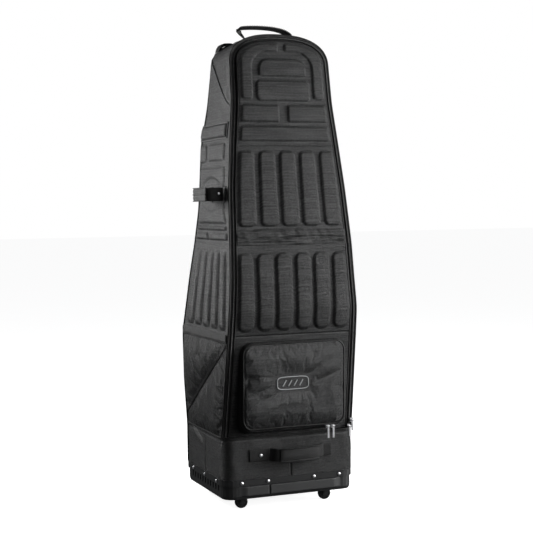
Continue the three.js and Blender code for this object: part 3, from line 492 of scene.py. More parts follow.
def add_rings(name, grid, uv, material, body, slot, hides=(), loop=False):
    """A closed piece from rings of points: joined into a loop, or capped at both ends."""
    rows, columns = grid.shape[:2]
    faces = triangles(rows, columns, wrap_rows=loop, wrap_columns=True)
    points, uv = grid.reshape(-1, 3), uv.reshape(-1, 2)
    if not loop:
        j = np.arange(columns)
        k = (j + 1) % columns
        last = (rows - 1) * columns
        first_cap = np.stack([np.full(columns, len(points)), k, j], -1)
        last_cap = np.stack([np.full(columns, len(points) + 1), last + j, last + k], -1)
        faces = np.concatenate([faces, first_cap, last_cap])
        points = np.concatenate([points, [grid[0].mean(0), grid[-1].mean(0)]])
        uv = np.concatenate([uv, [uv[0], uv[-1]]])
    return add_piece(name, points, faces, material, body, uv, hides)


def sweep(name, path, section, up, material, body, slot, hides=(), scale=None, loop=False):
    """A closed section of (sideways, upward) points carried along a path; loop joins the path's ends."""
    path, section = np.asarray(path, float), np.asarray(section, float)
    up = np.broadcast_to(np.asarray(up, float), path.shape)
    if loop:
        longer = [np.concatenate([line[-2:], line, line[:2]]) for line in (path, up)]
        side, top = (d[2:-2] for d in directions(*longer))
    else:
        side, top = directions(path, up)
    scale = np.ones(len(path)) if scale is None else scale
    offsets = section[None, :, :1] * side[:, None] + section[None, :, 1:] * top[:, None]
    grid = path[:, None] + scale[:, None, None] * offsets
    uv = pairs(lengths(path)[:, None], lengths(section)[None])
    return add_rings(name, grid, uv, material, body, slot, hides, loop)


def circle(radius, sides=10):
    angle = np.arange(sides) * 2 * math.pi / sides
    return np.stack([radius * np.cos(angle), radius * np.sin(angle)], -1)


def cord(name, path, radius, up, body, sides=8, loop=False):
    """Piping: a round cord of dark tape along a path."""
    return sweep(name, path, circle(radius, sides), up, PIPING, body, "woven_shell", loop=loop)


def coil(name, path, section, up, body, loop=False):
    """A zip's closed teeth: a ribbed cord, with two points to a rib and two between ribs."""
    teeth = 1 + 0.22 * np.sign(np.sin(np.arange(len(path)) * math.pi / 2 + 0.4))
    return sweep(name, path, section, up, COIL, body, "hard_plastic", scale=teeth, loop=loop)


def flat_section(width, thick):
    """A webbing section: flat, with rounded edges."""
    u = np.sin(np.linspace(-math.pi / 2, math.pi / 2, 9))
    rise = thick / 2 * np.sqrt(np.maximum(1 - u**6, 0.04))
    top = np.stack([u * width / 2, rise], -1)
    return np.concatenate([top, top[::-1] * [1, -1]])


def strap(name, path, width, thick, up, body, hides=(), scale=None):
    """A strap of webbing along a path."""
    return sweep(name, path, flat_section(width, thick), up, STRAP, body, "webbing", hides, scale)


def curve(points, step=3.0):
    """A smooth path through the points."""
    points = np.asarray(points, float)
    gaps = np.linalg.norm(np.diff(points, axis=0), axis=1)
    places = np.concatenate([[0], np.cumsum(np.sqrt(gaps))])
    slopes = np.gradient(points, places, axis=0)
    path = []
    for k, gap in enumerate(gaps):
        t = np.linspace(0, 1, max(3, round(gap / step)) + 1)[: None if k == len(gaps) - 1 else -1, None]
        width = places[k + 1] - places[k]
        path.append(
            (2 * t**3 - 3 * t**2 + 1) * points[k] + (t**3 - 2 * t**2 + t) * width * slopes[k]
            + (3 * t**2 - 2 * t**3) * points[k + 1] + (t**3 - t**2) * width * slopes[k + 1]
        )
    return np.concatenate(path)


def lathe(name, profile, centre, axis, material, body, slot, hides=(), segments=32, loop=False):
    """A profile of (radius, along) points turned about an axis; loop closes a ring-shaped profile."""
    profile = np.asarray(profile, float)
    angle = np.arange(segments) * 2 * math.pi / segments
    radius, along = profile[:, :1], profile[:, 1:] * np.ones(segments)
    across, other = radius * np.cos(angle), radius * np.sin(angle)
    order = {"x": (along, across, other), "y": (other, along, across)}[axis]
    grid = np.stack(order, -1) + np.asarray(centre, float)
    return add_rings(name, grid, pairs(angle * 20, along), material, body, slot, hides, loop)


def joined(name, pieces):
    """Several pieces of one material as one object."""
    bpy.ops.object.select_all(action="DESELECT")
    for piece in pieces:
        piece.select_set(True)
    bpy.context.view_layer.objects.active = pieces[0]
    bpy.ops.object.join()
    pieces[0].name = name
    return pieces[0]


def stitches(name, paths, body, up=(0, -1, 0), length=3.2, gap=1.8, radius=0.5):
    """Rows of single stitches, each a small spindle that lies on the fabric."""
    points, faces = [], []
    for path in paths:
        starts = np.arange(gap, lengths(path)[-1] - length, length + gap)
        for a, b in zip(resampled(path, starts), resampled(path, starts + length)):
            tangent = (b - a) / np.linalg.norm(b - a)
            top = np.asarray(up, float) - np.dot(up, tangent) * tangent
            top /= np.linalg.norm(top)
            side = np.cross(tangent, top) * radius
            middle = (a + b) / 2 + top * radius * 0.5
            base = len(points)
            points += [a, middle + side, middle + top * radius, middle - side, middle - top * radius, b]
            for j in range(4):
                k = (j + 1) % 4
                faces += [[base, base + 1 + j, base + 1 + k], [base + 5, base + 1 + k, base + 1 + j]]
    return add_piece(name, points, faces, THREAD, body)


def box_sides(u0, u1, v0, v1, count):
    """The four sides of a rectangle in order round it, each as count points of (u, v)."""
    corners = np.array([(u0, v0), (u1, v0), (u1, v1), (u0, v1), (u0, v0)], float)
    return [np.linspace(a, b, count) for a, b in zip(corners, corners[1:])]


CLOTH_FRAMES = 24


def settled(grid, pinned, excess, pressure, cap, away):
    """A grid of fabric let go as cloth between its pinned points, with a little more fabric than room."""
    rows, columns = grid.shape[:2]
    index = np.arange(rows * columns).reshape(rows, columns)
    quads = np.stack([index[:-1, :-1], index[1:, :-1], index[1:, 1:], index[:-1, 1:]], -1).reshape(-1, 4)
    mesh = bpy.data.meshes.new("cloth")
    mesh.from_pydata(metres(grid.reshape(-1, 3)).tolist(), [], quads.tolist())
    cloth = placed("cloth", mesh)
    group = cloth.vertex_groups.new(name="pin")
    group.add(np.flatnonzero(pinned.ravel()).tolist(), 1.0, "REPLACE")
    modifier = cloth.modifiers.new("cloth", "CLOTH")
    settings = modifier.settings
    settings.quality = 5
    settings.mass = 0.15
    settings.tension_stiffness = settings.compression_stiffness = 12
    settings.shear_stiffness = 4
    settings.bending_stiffness = 0.35
    settings.vertex_group_mass = "pin"
    settings.shrink_min = -excess
    settings.use_pressure = True
    normal = np.cross(np.gradient(grid, axis=0), np.gradient(grid, axis=1))
    settings.uniform_pressure_force = pressure if (normal * away).sum() > 0 else -pressure
    settings.effector_weights.gravity = 0
    modifier.collision_settings.use_collision = False
    modifier.point_cache.frame_end = CLOTH_FRAMES
    scene = bpy.context.scene
    for number in range(1, CLOTH_FRAMES + 1):
        scene.frame_set(number)
    shown = cloth.evaluated_get(bpy.context.evaluated_depsgraph_get())
    co = np.zeros(len(mesh.vertices) * 3, np.float32)
    shown.data.vertices.foreach_get("co", co)
    move = (co.reshape(rows, columns, 3).astype(float) - CENTRE) * 1000 - grid
    scene.frame_set(1)
    bpy.data.objects.remove(cloth)
    size = np.linalg.norm(move, axis=-1, keepdims=True)
    return grid + move * np.minimum(1, cap / np.maximum(size, 1e-6))


# ---- Outlines ----
def superellipse(turn, half_width, rise):
    """x and z of an arch at a turn from its right foot (0) to its left foot (pi)."""
    c, s, power = np.cos(turn), np.sin(turn), 2 / ARCH_POWER
    return half_width * np.sign(c) * np.abs(c) ** power, ARCH_BASE + rise * np.abs(s) ** power


def rim_path(inset, forward, low=COLLAR_HIGH, step=2.5):
    """Up the left of the door opening, over the arch and down the right, inset from the shell's outline."""
    z = np.linspace(low, ARCH_BASE, round((ARCH_BASE - low) / step) + 1)
    turn = np.linspace(math.pi, 0, round(330 / step) + 1)[1:-1]
    x, over = superellipse(turn, ARCH_HALF - inset, ARCH_RISE - inset)
    side_x = at("front", z) - inset
    xs, zs = np.concatenate([-side_x, x, side_x[::-1]]), np.concatenate([z, over, z[::-1]])
    return np.stack([xs, at("edge", zs) - forward, zs], -1)


def door_half_width(z):
    return at("front", z) - DOOR_INSET


def door_margin(x, z):
    """How far inside the door's outline a point of its face is."""
    level = np.maximum(z - ARCH_BASE, 0)
    across, up = np.abs(x) / (ARCH_HALF - DOOR_INSET), level / (ARCH_RISE - DOOR_INSET)
    share = np.maximum(across**ARCH_POWER + up**ARCH_POWER, 1e-9) ** (1 / ARCH_POWER)
    arch = np.hypot(x, level) * (1 / share - 1)
    return np.where(z > ARCH_BASE, arch, door_half_width(z) - np.abs(x))


# ---- Door ----
def upper_door_height(x, z):
    """Pads over the door's upper half: arch, crown, two pairs of boxes and five ribs."""
    margin = door_margin(x, z)
    inside = margin - np.interp(z, [754, 960, 1000, 1190], [6.5, 6.5, 9, 8.5])
    leg = smallest(inside, -rounded_box(x, z, -86, 86, 900, 1225, 46), z - 1096, soft=4)
    pads = [
        smallest(leg, np.abs(x) - 8, soft=2.5),
        smallest(rounded_box(x, z, -69, 69, 1080, 1207, 30), z - 1158, soft=3),
        rounded_box(x, z, -78, 78, 1092, 1149, 13),
    ]
    for x0, x1, z0, z1 in ((-170, -15, 1036, 1083), (8, 170, 1036, 1083), (-170, 170, 985, 1026)):
        pads.append(smallest(inside, rounded_box(x, z, x0, x1, z0, z1, 6), soft=2.5))
    down = (960 - z) / 200
    ribs = []
    for k in range(-2, 3):
        along = (x - k * (58 + down * (2 if abs(k) == 1 else 4))) / (1 + 0.16 * down)
        ribs.append(smallest(rounded_box(along, z, -23.5, 23.5, 759, 961, 15), margin - 6, soft=2.5))
    height = np.where(z < 968, quilted(ribs, 6.0, 9.0), quilted(pads, 5.0, 6.5))
    return height - 1.6 * ridge(z - 974, 1.6) * ramp(margin, 2, 8)


def lower_door_height(x, z):
    """Six ribs over the door's lower half, between two seams."""
    margin = door_margin(x, z)
    centres = [-137, -81, -28, 28, 81, 137]
    ribs = [smallest(rounded_box(x - c, z, -24, 24, 485, 691, 19), margin - 6, soft=2.5) for c in centres]
    seams = ridge(z - 473, 1.7) + 0.6 * ridge(z - 700, 1.7)
    return quilted(ribs, 6.0, 8.5) - 1.8 * seams * ramp(margin, 1, 5)


def door_surface(x, z, height):
    """A point of the door's face: it stands forward of its edge, bulges, and rolls back at the rim."""
    near = np.clip(door_margin(x, z) / 6, 0, 1)
    middle = 1 - np.minimum(1, np.abs(x) / door_half_width(z)) ** 2
    stand = at("lift", z) * (0.25 + 0.75 * np.sqrt(near * (2 - near))) + at("crown", z) * middle
    return np.stack([x, at("edge", z) - stand - height, z], -1)


def door_grid(low, high, step=2.2):
    """x and z over the door between two heights, rows straight across or fanned over the arch."""
    s = np.linspace(-1, 1, counted(320, step))
    top = min(high, ARCH_BASE)
    upright = np.linspace(low, top, counted(top - low, step))
    x, z = s * door_half_width(upright)[:, None], np.repeat(upright[:, None], len(s), 1)
    if high > ARCH_BASE:
        r = np.linspace(0, 1, counted(85, step))[1:, None]
        dx, dz = s * np.sqrt(1 - r * r / 2), r * np.sqrt(1 - s * s / 2)
        reach = np.maximum(np.hypot(dx, dz), 1e-9)
        edge = (np.abs(dx / reach) ** ARCH_POWER + np.abs(dz / reach) ** ARCH_POWER) ** (-1 / ARCH_POWER)
        x = np.concatenate([x, (ARCH_HALF - DOOR_INSET) * dx * edge])
        z = np.concatenate([z, ARCH_BASE + (ARCH_RISE - DOOR_INSET) * dz * edge])
    return x, z


def back_of(x, z, depth=9.0):
    """The lining behind the door's face."""
    flat = door_surface(x, z, 0 * x)
    flat[..., 1] = np.minimum(flat[..., 1] + depth, at("edge", z) + 3.4)
    return flat


def door_half(word, low, high, height_of):
    """One padded half of the door; the weft's lines rise over each pad."""
    x, z = door_grid(low, high)
    height = height_of(x, z)
    return panel(
        f"door_{word}_cover", door_surface(x, z, height), back_of(x, z), pairs(x, z - 1.3 * height),
        SHELL, f"door_{word}", [f"door_{word}_panel"], LINER,
    )


def fold_height(x, z):
    """Gathered fabric between the two door panels, pinched along two lines."""
    slack = 4.5 * np.sin(np.clip((z - 709) / 46, 0, 1) * math.pi) ** 0.6
    pinch = 2.6 * ridge(z - 731 - 2 * np.sin(x / 40), 2.2) + 1.6 * ridge(z - 718, 1.7)
    gathers = 2.6 * noise((x + 0.4 * z + 500) / 13, (z - 600) / 40 + (x + 500) / 120, 11)
    gathers *= 1.0 + 1.2 * noise((x + 500) / 70, z / 34, 13)
    creases = 3.6 * noise((x + 500) / 74, (z - 600 + 0.16 * x) / 10, 12)
    creases += 2.0 * noise((x + 500) / 40, (z - 600 - 0.22 * x) / 7, 14)
    return slack - pinch + (gathers + creases) * ramp(z, 708, 716) * ramp(-z, -757, -750)


def door_fold():
    """The soft band between the door's halves."""
    across = counted(345, 2.0)
    z = np.repeat(np.linspace(FOLD_LOW - 4, FOLD_HIGH + 4, counted(50, 2.0))[:, None], across, 1)
    x = np.linspace(-1, 1, across) * (door_half_width(z) - 0.6)
    face = door_surface(x, z, fold_height(x, z) - 1.0)
    inner = back_of(x, z, 6.0)
    return panel("door_fold_band", face, inner, pairs(x, z), SHELL, None, (), LINER)


door_upper = door_half("upper", FOLD_HIGH, SHELL_TOP, upper_door_height)
door_lower = door_half("lower", COLLAR_HIGH + 1, FOLD_LOW, lower_door_height)
fold = door_fold()

# ---- Sides and top ----
def side_height(y, z):
    """Pads, ribs and seams of the upper side panel, from above its strap to the arch."""
    belt = rounded_box(y, z, -125, 84, 997, 1036, 4)
    foot = np.interp(z, [768, 800, 919], [-160, -140, -127])
    recess = (np.hypot((y + 20) / 94, (z - 846) / 43) - 1) * 40
    pads = [
        rounded_box(y, z, 31, 84, 936, 984, 7),
        rounded_box(y, z, -117, 15, 936, 984, 7),
        smallest(rounded_box(y, z, -400, 82, 768, 921, 10), y - foot, recess),
    ]
    slant = (z - 734) * 0.55
    strips = [
        rounded_box(y, z, -160, 86, 750, 763, 4),
        smallest(rounded_box(y, z, -160, 88, 724, 745, 4), y + 8 - slant, soft=2),
        smallest(rounded_box(y, z, -172, 160, 724, 745, 4), -24 - slant * 1.3 - y, soft=2),
    ]
    down = np.clip((703 - z) / 215, -0.2, 1.1)
    tops, bottoms = [88, 35, -18, -69, -119, -168], [113, 56, -6, -67, -125, -182]
    lines = [a + (b - a) * down for a, b in zip(tops, bottoms)]
    ribs = [
        smallest((rear - front) / 2 - 3.5 - np.abs(y - (rear + front) / 2), 701 - z, z - 489, soft=4)
        for rear, front in zip(lines, lines[1:])
    ]
    quilts = [quilted(pads, 5.5, 8.0), quilted([belt], 9.0, 9.0)]
    quilts += [quilted(strips, 6.0, 6.0), quilted(ribs, 8.0, 16.0)]
    seams = sum(ridge(z - level, 1.5) for level in (766, 712, 990))
    return (np.max(quilts, axis=0) - 1.4 * seams) * ramp(z, 480, 486)


# The front gore's slanting seam: it starts at GORE_START (y, z) and rises by GORE_RUN.
GORE_START, GORE_RUN = (-107.0, 1096.0), (148.0, 120.0)


def gore_line(y, z):
    """Signed distance from the slanting seam of the front gore."""
    return ((z - GORE_START[1]) * GORE_RUN[0] - (y - GORE_START[0]) * GORE_RUN[1]) / math.hypot(*GORE_RUN)


def gore_ridge(y, z):
    """The gore's seam stands proud, so the fabric slopes away on both sides of it."""
    return 6.5 * np.exp(-np.abs(gore_line(y, z)) / 42) * ramp(z, 1056, 1110) * ramp(-z, -1262, -1225)


def side_end(z):
    """y of the rear edge of the side, where the back's rounded corner starts."""
    return at("back", z) - REAR_CORNER - 0.4


def side_base(z, v, side):
    """The plain side between the door (v = 0) and the back (v = 1)."""
    front, edge = at("front", z)[:, None], at("edge", z)[:, None]
    x = side * (front + (at("rear", z)[:, None] - front) * v)
    return points_of(x, edge + (side_end(z)[:, None] - edge) * v, z[:, None])


def arch_base(turn, v, inset=0.0):
    """The plain arch between the door (v = 0) and the back (v = 1)."""
    turn = turn[:, None]
    x, over = superellipse(turn, ARCH_HALF - REAR_NARROWER * v - inset, ARCH_RISE - REAR_LOWER * v - inset)
    edge = at("edge", superellipse(turn, ARCH_HALF, ARCH_RISE)[1])
    return np.stack([x, edge + (side_end(SHELL_TOP) - edge) * v, over], -1)


DEPTH_STEP = 2.6


def cover_grid(v, inset=0.0):
    """Up the left side, over the arch and down the right side."""
    z = np.linspace(SOFT_HIGH + 0.6, ARCH_BASE, counted(730, DEPTH_STEP))[:-1]
    left, right = side_base(z, v, -1), side_base(z, v, 1)[::-1]
    left[..., 0] += inset
    right[..., 0] -= inset
    return np.concatenate([left, arch_base(np.linspace(math.pi, 0, 133), v, inset), right])


def shell_cover():
    """The padded fabric of both upper sides and the arch, in one piece."""
    v = np.linspace(0, 1, counted(270, DEPTH_STEP))[None, :]
    base = cover_grid(v)
    away = base * [1, 0, 1]
    away[..., 2] = np.maximum(base[..., 2] - 1185, 0.01)
    y, z = base[..., 1], base[..., 2]
    height = side_height(y, z) * ramp(-z, -1180, -1150)
    height += 2.2 * noise(y / 70 + 9, z / 90, 21) * ramp(z, 1040, 1080)
    gore = gore_line(y, z)
    step = 1.8 * ramp(-gore, 0, 3) - 2.0 * ridge(gore, 1.8)
    height += step * ramp(z, 1060, 1100) * ramp(-z, -1262, -1240)
    height += gore_ridge(y, z) * ramp(np.minimum(v, 1 - v), 0, 0.12)
    height *= ramp(v, 0, 0.02) * ramp(-v, -1, -0.98)
    outer, uv = raised(base, height, away), pairs(y, lengths(base[:, 0])[:, None])
    return panel(
        "shell_cover", outer, cover_grid(v, 6.5), uv, SIDE, "shell",
        ["side_left_upper", "side_right_upper", "top_arch"], LINER,
    )


def on_side(y, z, side, out=0.0):
    """A point of the side's surface, out millimetres beyond it."""
    y, z = np.broadcast_arrays(np.asarray(y, float), np.asarray(z, float))
    share = (y - at("edge", z)) / (side_end(z) - at("edge", z))
    x = at("front", z) + (at("rear", z) - at("front", z)) * share + out
    return np.stack([side * x, y, z], -1)


def pad_cord(side):
    """The cord round the belt-shaped pad."""
    line = np.concatenate([part[:-1] for part in box_sides(-127, 86, 996, 1037, 40)])
    return cord("pad_cord", on_side(*line.T, side, 1.0), 2.0, (side, 0, 0), "shell", loop=True)


def gore_piping(side):
    """The cord along the gore's seam, up the side and onto the arch."""
    y = np.linspace(ARCH_FRONT, 32, 60)
    z = GORE_START[1] + (y - GORE_START[0]) / GORE_RUN[0] * GORE_RUN[1]
    share = (y - ARCH_FRONT) / ARCH_DEPTH
    proud = 1.0 + gore_ridge(y, z) * ramp(np.minimum(share, 1 - share), 0, 0.12)
    path = on_side(y, np.minimum(z, ARCH_BASE - 0.1), side, proud)
    high = z > ARCH_BASE - 1
    lifted = np.clip((z - ARCH_BASE) / (ARCH_RISE - REAR_LOWER * share), 0, 1)
    x = (ARCH_HALF - REAR_NARROWER * share) * (1 - lifted**ARCH_POWER) ** (1 / ARCH_POWER) + proud
    path[high, 0], path[high, 2] = side * x[high], z[high]
    return cord("gore_piping", path, 1.5, (side, 0, 0.2), "shell")


cover = shell_cover()
joined("pad_cord", [pad_cord(side) for side in (-1, 1)])
joined("gore_piping", [gore_piping(side) for side in (-1, 1)])


# ---- Back ----
def back_grid(inset=0.0, low=89.0, step=3.2):
    """The back and its rounded corners, fanned over the arch, with its texture coordinates."""
    s = np.linspace(-1, 1, counted(470, step))[None, :]
    z = np.linspace(low, ARCH_BASE, counted(ARCH_BASE - low, step))[:, None]
    r = np.linspace(0, 1, counted(82, step))[1:, None]
    upright = z + 0 * s
    dx = np.concatenate([s + 0 * z, s * np.sqrt(1 - r * r / 2)])
    dz = np.concatenate([0 * upright, r * np.sqrt(1 - s * s / 2)])
    reach = np.maximum(np.hypot(dx, dz), 1e-9)
    c, k = np.where(reach < 1e-8, 1.0, dx / reach), dz / reach
    level = np.concatenate([upright, ARCH_BASE + 0 * (r + s)])
    rise = ARCH_RISE - REAR_LOWER - inset
    edge = np.abs(c / (at("rear", level) - inset)) ** ARCH_POWER + np.abs(k / rise) ** ARCH_POWER
    corner = REAR_CORNER - inset
    flat = edge ** (-1 / ARCH_POWER) - corner
    travel = reach * (flat + corner * math.pi / 2)
    angle = np.clip((travel - flat) / corner, 0, math.pi / 2)
    radius = np.where(travel < flat, travel, flat + corner * np.sin(angle))
    y = at("back", level) - REAR_CORNER + corner * np.cos(angle)
    return points_of(radius * c, y, level + radius * k), pairs(travel * c, level + travel * k)


def back_height(u, z):
    """Four pads, each split down the middle, and a seam above the base."""
    margin = np.interp(z, [200, 1190], [180, 118]) - np.abs(u)
    pads = []
    for low, high in ((760, 968), (982, 1180), (490, 745), (222, 450)):
        pad = smallest(margin, rounded_box(u, z, -400, 400, low, high, 16), soft=5)
        pads.append(smallest(pad, np.abs(u) - 7))
    return quilted(pads, 5.0, 9.0) - 1.5 * ridge(z - 203, 2)


def back_cover():
    """The quilted fabric of the back, round both of its corners and over the arch."""
    grid, uv = back_grid()
    inner, _ = back_grid(5.5)
    from_corner = np.abs(grid[..., 1] - at("back", grid[..., 2]) + REAR_CORNER)
    height = back_height(uv[..., 0], uv[..., 1]) * ramp(from_corner, 0, 12)
    away = np.array([0, 1.0, 0]) + grid * [0.002, 0, 0]
    outer = raised(grid, height, away)
    return panel("back_cover", outer, inner, uv, SIDE, "shell", ["back_panel"], LINER)


def rear_piping():
    """The cord along the seam between the sides and the back."""
    z = np.linspace(92, ARCH_BASE, 220)
    left, right = (points_of(side * (at("rear", z) + 0.6), side_end(z) + 0.9, z) for side in (-1, 1))
    turn = np.linspace(math.pi, 0, 120)[1:-1]
    x, over = superellipse(turn, ARCH_HALF - REAR_NARROWER + 0.6, ARCH_RISE - REAR_LOWER + 0.6)
    seam = np.concatenate([left, points_of(x, ARCH_FRONT + ARCH_DEPTH, over), right[::-1]])
    out = seam * [1, 0, 1]
    out[:, 2] = np.maximum(seam[:, 2] - 1186, 0)
    return cord("rear_piping", seam, 2.2, out, "shell")


back = back_cover()
rear_piping()

# ---- Soft lower sides ----
# The slanting seam falls from SEAM_TOP (y, z) by SEAM_DROP towards the back.
SEAM_TOP, SEAM_DROP = (-181.0, 449.0), (292.0, 206.0)


def soft_side(side, word, step=3.2):
    """Slack fabric between the collar and the strap, gathered into a slanting seam."""
    v = np.linspace(0, 1, counted(325, step))[None, :]
    base = side_base(np.linspace(SOFT_LOW, SOFT_HIGH, counted(257, step)), v, side)
    y, z = base[..., 1], base[..., 2]
    out = np.array([side, 0.0, 0.0])
    seam = ((z - SEAM_TOP[1]) * SEAM_DROP[0] + (y - SEAM_TOP[0]) * SEAM_DROP[1]) / math.hypot(*SEAM_DROP)
    rim = np.minimum(np.minimum(z - SOFT_LOW, SOFT_HIGH - z), np.minimum(v, 1 - v) * 320)
    swell = (5.0 + 9.0 * ramp(seam, 0, 110)) * ramp(seam, 0, 30) * ramp(rim, 0, 44)
    front = 4.5 * ramp(-seam, 0, 16) * ramp(-seam, 0, 90) * ramp(rim, 0, 30)
    rolls = 3.0 * noise((y + z * 0.5 + 900) / 60, (z - y * 0.4 + 400) / 160, 31)
    rolls += 1.2 * noise((y - z * 0.4 + 900) / 22, (z + y * 0.7 + 400) / 60, 32)
    height = (swell + front - 3.0 * ridge(seam, 3.0) + rolls * ramp(rim, 0, 20)) * ramp(rim, 0, 5)
    pinned = (rim < 2) | (np.abs(seam) < 2.5)
    grid = settled(raised(base, height, out), pinned, excess=0.018, pressure=2.0, cap=6.0, away=out)
    inner = base - normals(base, out) * 3.0
    hides = [f"side_{word}_lower"]
    return panel(f"soft_side_{word}", grid, inner, pairs(y, z), SOFT, "shell", hides, LINER)


def side_strap(side, word):
    """The flat strap between the upper and the lower side, its stitching, and the cords beside it."""
    up = (side, 0, 0)
    y = np.linspace(-178, 100, 90)
    seam = on_side(y, SEAM_TOP[1] - (y - SEAM_TOP[0]) * SEAM_DROP[1] / SEAM_DROP[0], side, 0.4)
    cord(f"soft_seam_{word}", seam, 1.5, up, "shell")
    y = np.linspace(-183, 138.5, 110)
    upright = flat_section(21, 2.4)[:, ::-1]
    band = on_side(y, STRAP_Z, side, 2.6)
    hides = [f"side_strap_{word}"]
    sweep(f"side_strap_band_{word}", band, upright, (0, 0, 1), STRAP, "shell", "webbing", hides)
    rows = [on_side(y, z, side, 3.9) for z in (STRAP_Z - 7.5, STRAP_Z + 7.5)]
    stitches(f"side_strap_stitching_{word}", rows, "shell", up=up)
    cord(f"side_strap_piping_{word}", on_side(y, SOFT_HIGH - 1.6, side, 1.0), 1.7, up, "shell")


for side, word in ((-1, "left"), (1, "right")):
    soft_side(side, word)
    side_strap(side, word)


# ---- Collar round the base ----
def collar_path(inset=0.0, rear=129.0, count=None):
    """x and y round the base from the rear left corner, by the front, to the rear right corner."""
    radius = TRAY_CORNER - inset
    arc = np.linspace(0, math.pi / 2, 22)
    centre_x, centre_y = WIDE - TRAY_CORNER, TRAY_CORNER - DEEP
    path = np.concatenate([
        [(inset - WIDE, rear)],
        np.stack([-centre_x - radius * np.cos(arc), centre_y - radius * np.sin(arc)], -1),
        np.stack([centre_x + radius * np.sin(arc), centre_y - radius * np.cos(arc)], -1),
        [(WIDE - inset, rear)],
    ])
    total = lengths(path)[-1]
    return resampled(path, np.linspace(0, total, count or counted(total, 3.0)))


def collar_height(along, x, y, z):
    """Slack between the collar's edges, its upright seams, and the pucker low on each side."""
    on_sides = np.abs(x) > 180
    seam_side = ridge(y + 15, 2.2) * on_sides * ramp(-z, -192, -176)
    seam_front = ridge(x, 1.6) * (y < -150) * ramp(-z, -140, -132)
    crease = (z - 196) + (66 - y) * 0.42
    pucker = 2.2 * ridge(crease + 12, 8.0) - 7.0 * ridge(crease, 3.4)
    pucker = pucker * ramp(y, 0, 24) * ramp(-y, -96, -70) * on_sides
    slack = 2.6 * noise((along + 40) / 62, z / 75, 41) + 1.4 * noise((along + z * 0.6) / 24, z / 60, 42)
    height = slack * ramp(z, 92, 120) * ramp(-z, -202, -180) - 5.0 * seam_side - 2.4 * seam_front + pucker
    height += 1.4 * ramp(z, 196, 203) - 1.6 * ridge(z - 194, 1.6)
    return np.clip(height, -7, 4)


def collar():
    """The fabric band that covers the tray's rim and joins it to the shell."""
    outline = collar_path()
    inside = collar_path(COLLAR_THICK, count=len(outline))
    levels = np.linspace(COLLAR_LOW, COLLAR_HIGH, counted(COLLAR_HIGH - COLLAR_LOW, 2.6))[:, None]
    outer, inner = (points_of(line[:, 0], line[:, 1], levels) for line in (outline, inside))
    along = lengths(outline)[None]
    height = collar_height(along, outer[..., 0], outer[..., 1], outer[..., 2])
    outer = raised(outer, height, outer * [1, 1, 0])
    hides = ["collar_front", "collar_left", "collar_right"]
    panel("base_collar", outer, inner, pairs(along, levels), COLLAR, "shell", hides, LINER)
    x, y = collar_path(-0.4, rear=127.0).T
    cord("collar_piping", points_of(x, y, COLLAR_HIGH - 0.6), 1.8, (0, 0, 1), "shell")


collar()


# ---- Door opening: piping, tape and coil ----
def door_zip():
    """The cord round the opening, the zip's tape with its stitching, and its closed teeth."""
    front = (0, -1, 0)
    cord("shell_piping", rim_path(1.6, 2.8), 2.7, front, "shell", sides=10)
    tape = [(-8.88, -1.4), (-8.88, 0.2), (-3.6, 0.9), (0, 1.2), (3.6, 0.9), (8.88, 0.2), (8.88, -1.4)]
    sweep("zip_tape", rim_path(9.4, 3.6), tape, front, TAPE, "shell", "woven_shell", ["zipper_frame"])
    coil("zip_coil", rim_path(10.2, 5.4, step=0.65), circle(2.0, 6) * [1.15, 0.8], front, "shell")
    rows = [rim_path(inset, 4.9) for inset in (5.2, 14.6)]
    stitches("zip_tape_stitching", rows, "shell", length=2.8, gap=1.6, radius=0.4)


def on_door_edge(path):
    """The path moved forward onto the rolled rim of the door."""
    path[:, 1] = at("edge", path[:, 2]) - np.maximum(at("lift", path[:, 2]) * 0.72, 3.5)
    return path


def door_piping(low, high, name, body):
    """The cord sewn round a door panel's edge."""
    inset = DOOR_INSET + 2
    if high > ARCH_BASE:
        paths = [rim_path(inset, 0, low=low)]
    else:
        z = np.linspace(low, high, round((high - low) / 2.5))
        paths = [points_of(side * (at("front", z) - inset), 0, z) for side in (-1, 1)]
    pieces = [cord(name, on_door_edge(path), 2.6, (0, -1, 0), body, sides=10) for path in paths]
    return joined(name, pieces) if len(pieces) > 1 else pieces[0]


door_zip()
door_piping(FOLD_HIGH - 1, SHELL_TOP, "door_upper_piping", "door_upper")
door_piping(COLLAR_HIGH + 2, FOLD_LOW + 1, "door_lower_piping", "door_lower")
fold_cord = door_piping(FOLD_LOW, FOLD_HIGH, "door_fold_piping", None)

# ---- Pocket ----
POCKET_LOW, POCKET_HIGH, POCKET_HALF, POCKET_CORNER = 226.0, 451.0, 145.0, 26.0
POCKET_MIDDLE = 338.0


def pocket_face(z):
    """y of the flap's outer face: it leans back towards the top."""
    return -192 - 6 * (z - POCKET_LOW) / 225


def pocket_outline(grow, drop):
    """The pocket's rounded outline, x and z, anticlockwise from the middle of its bottom edge."""
    low, high, half = POCKET_LOW - drop, POCKET_HIGH + grow, POCKET_HALF + grow
    radius = POCKET_CORNER + grow
    arc = np.linspace(0, math.pi / 2, 16)
    corners = [(half - radius, low + radius, -90), (half - radius, high - radius, 0)]
    corners += [(radius - half, high - radius, 90), (radius - half, low + radius, 180)]
    points = [np.array([[0, low]])]
    for x, z, start in corners:
        angle = math.radians(start) + arc
        points.append(np.stack([x + radius * np.cos(angle), z + radius * np.sin(angle)], -1))
    points = np.concatenate([*points, points[0]])
    total = lengths(points)[-1]
    return resampled(points, np.linspace(0, total, round(total / 2.5) + 1)[:-1])


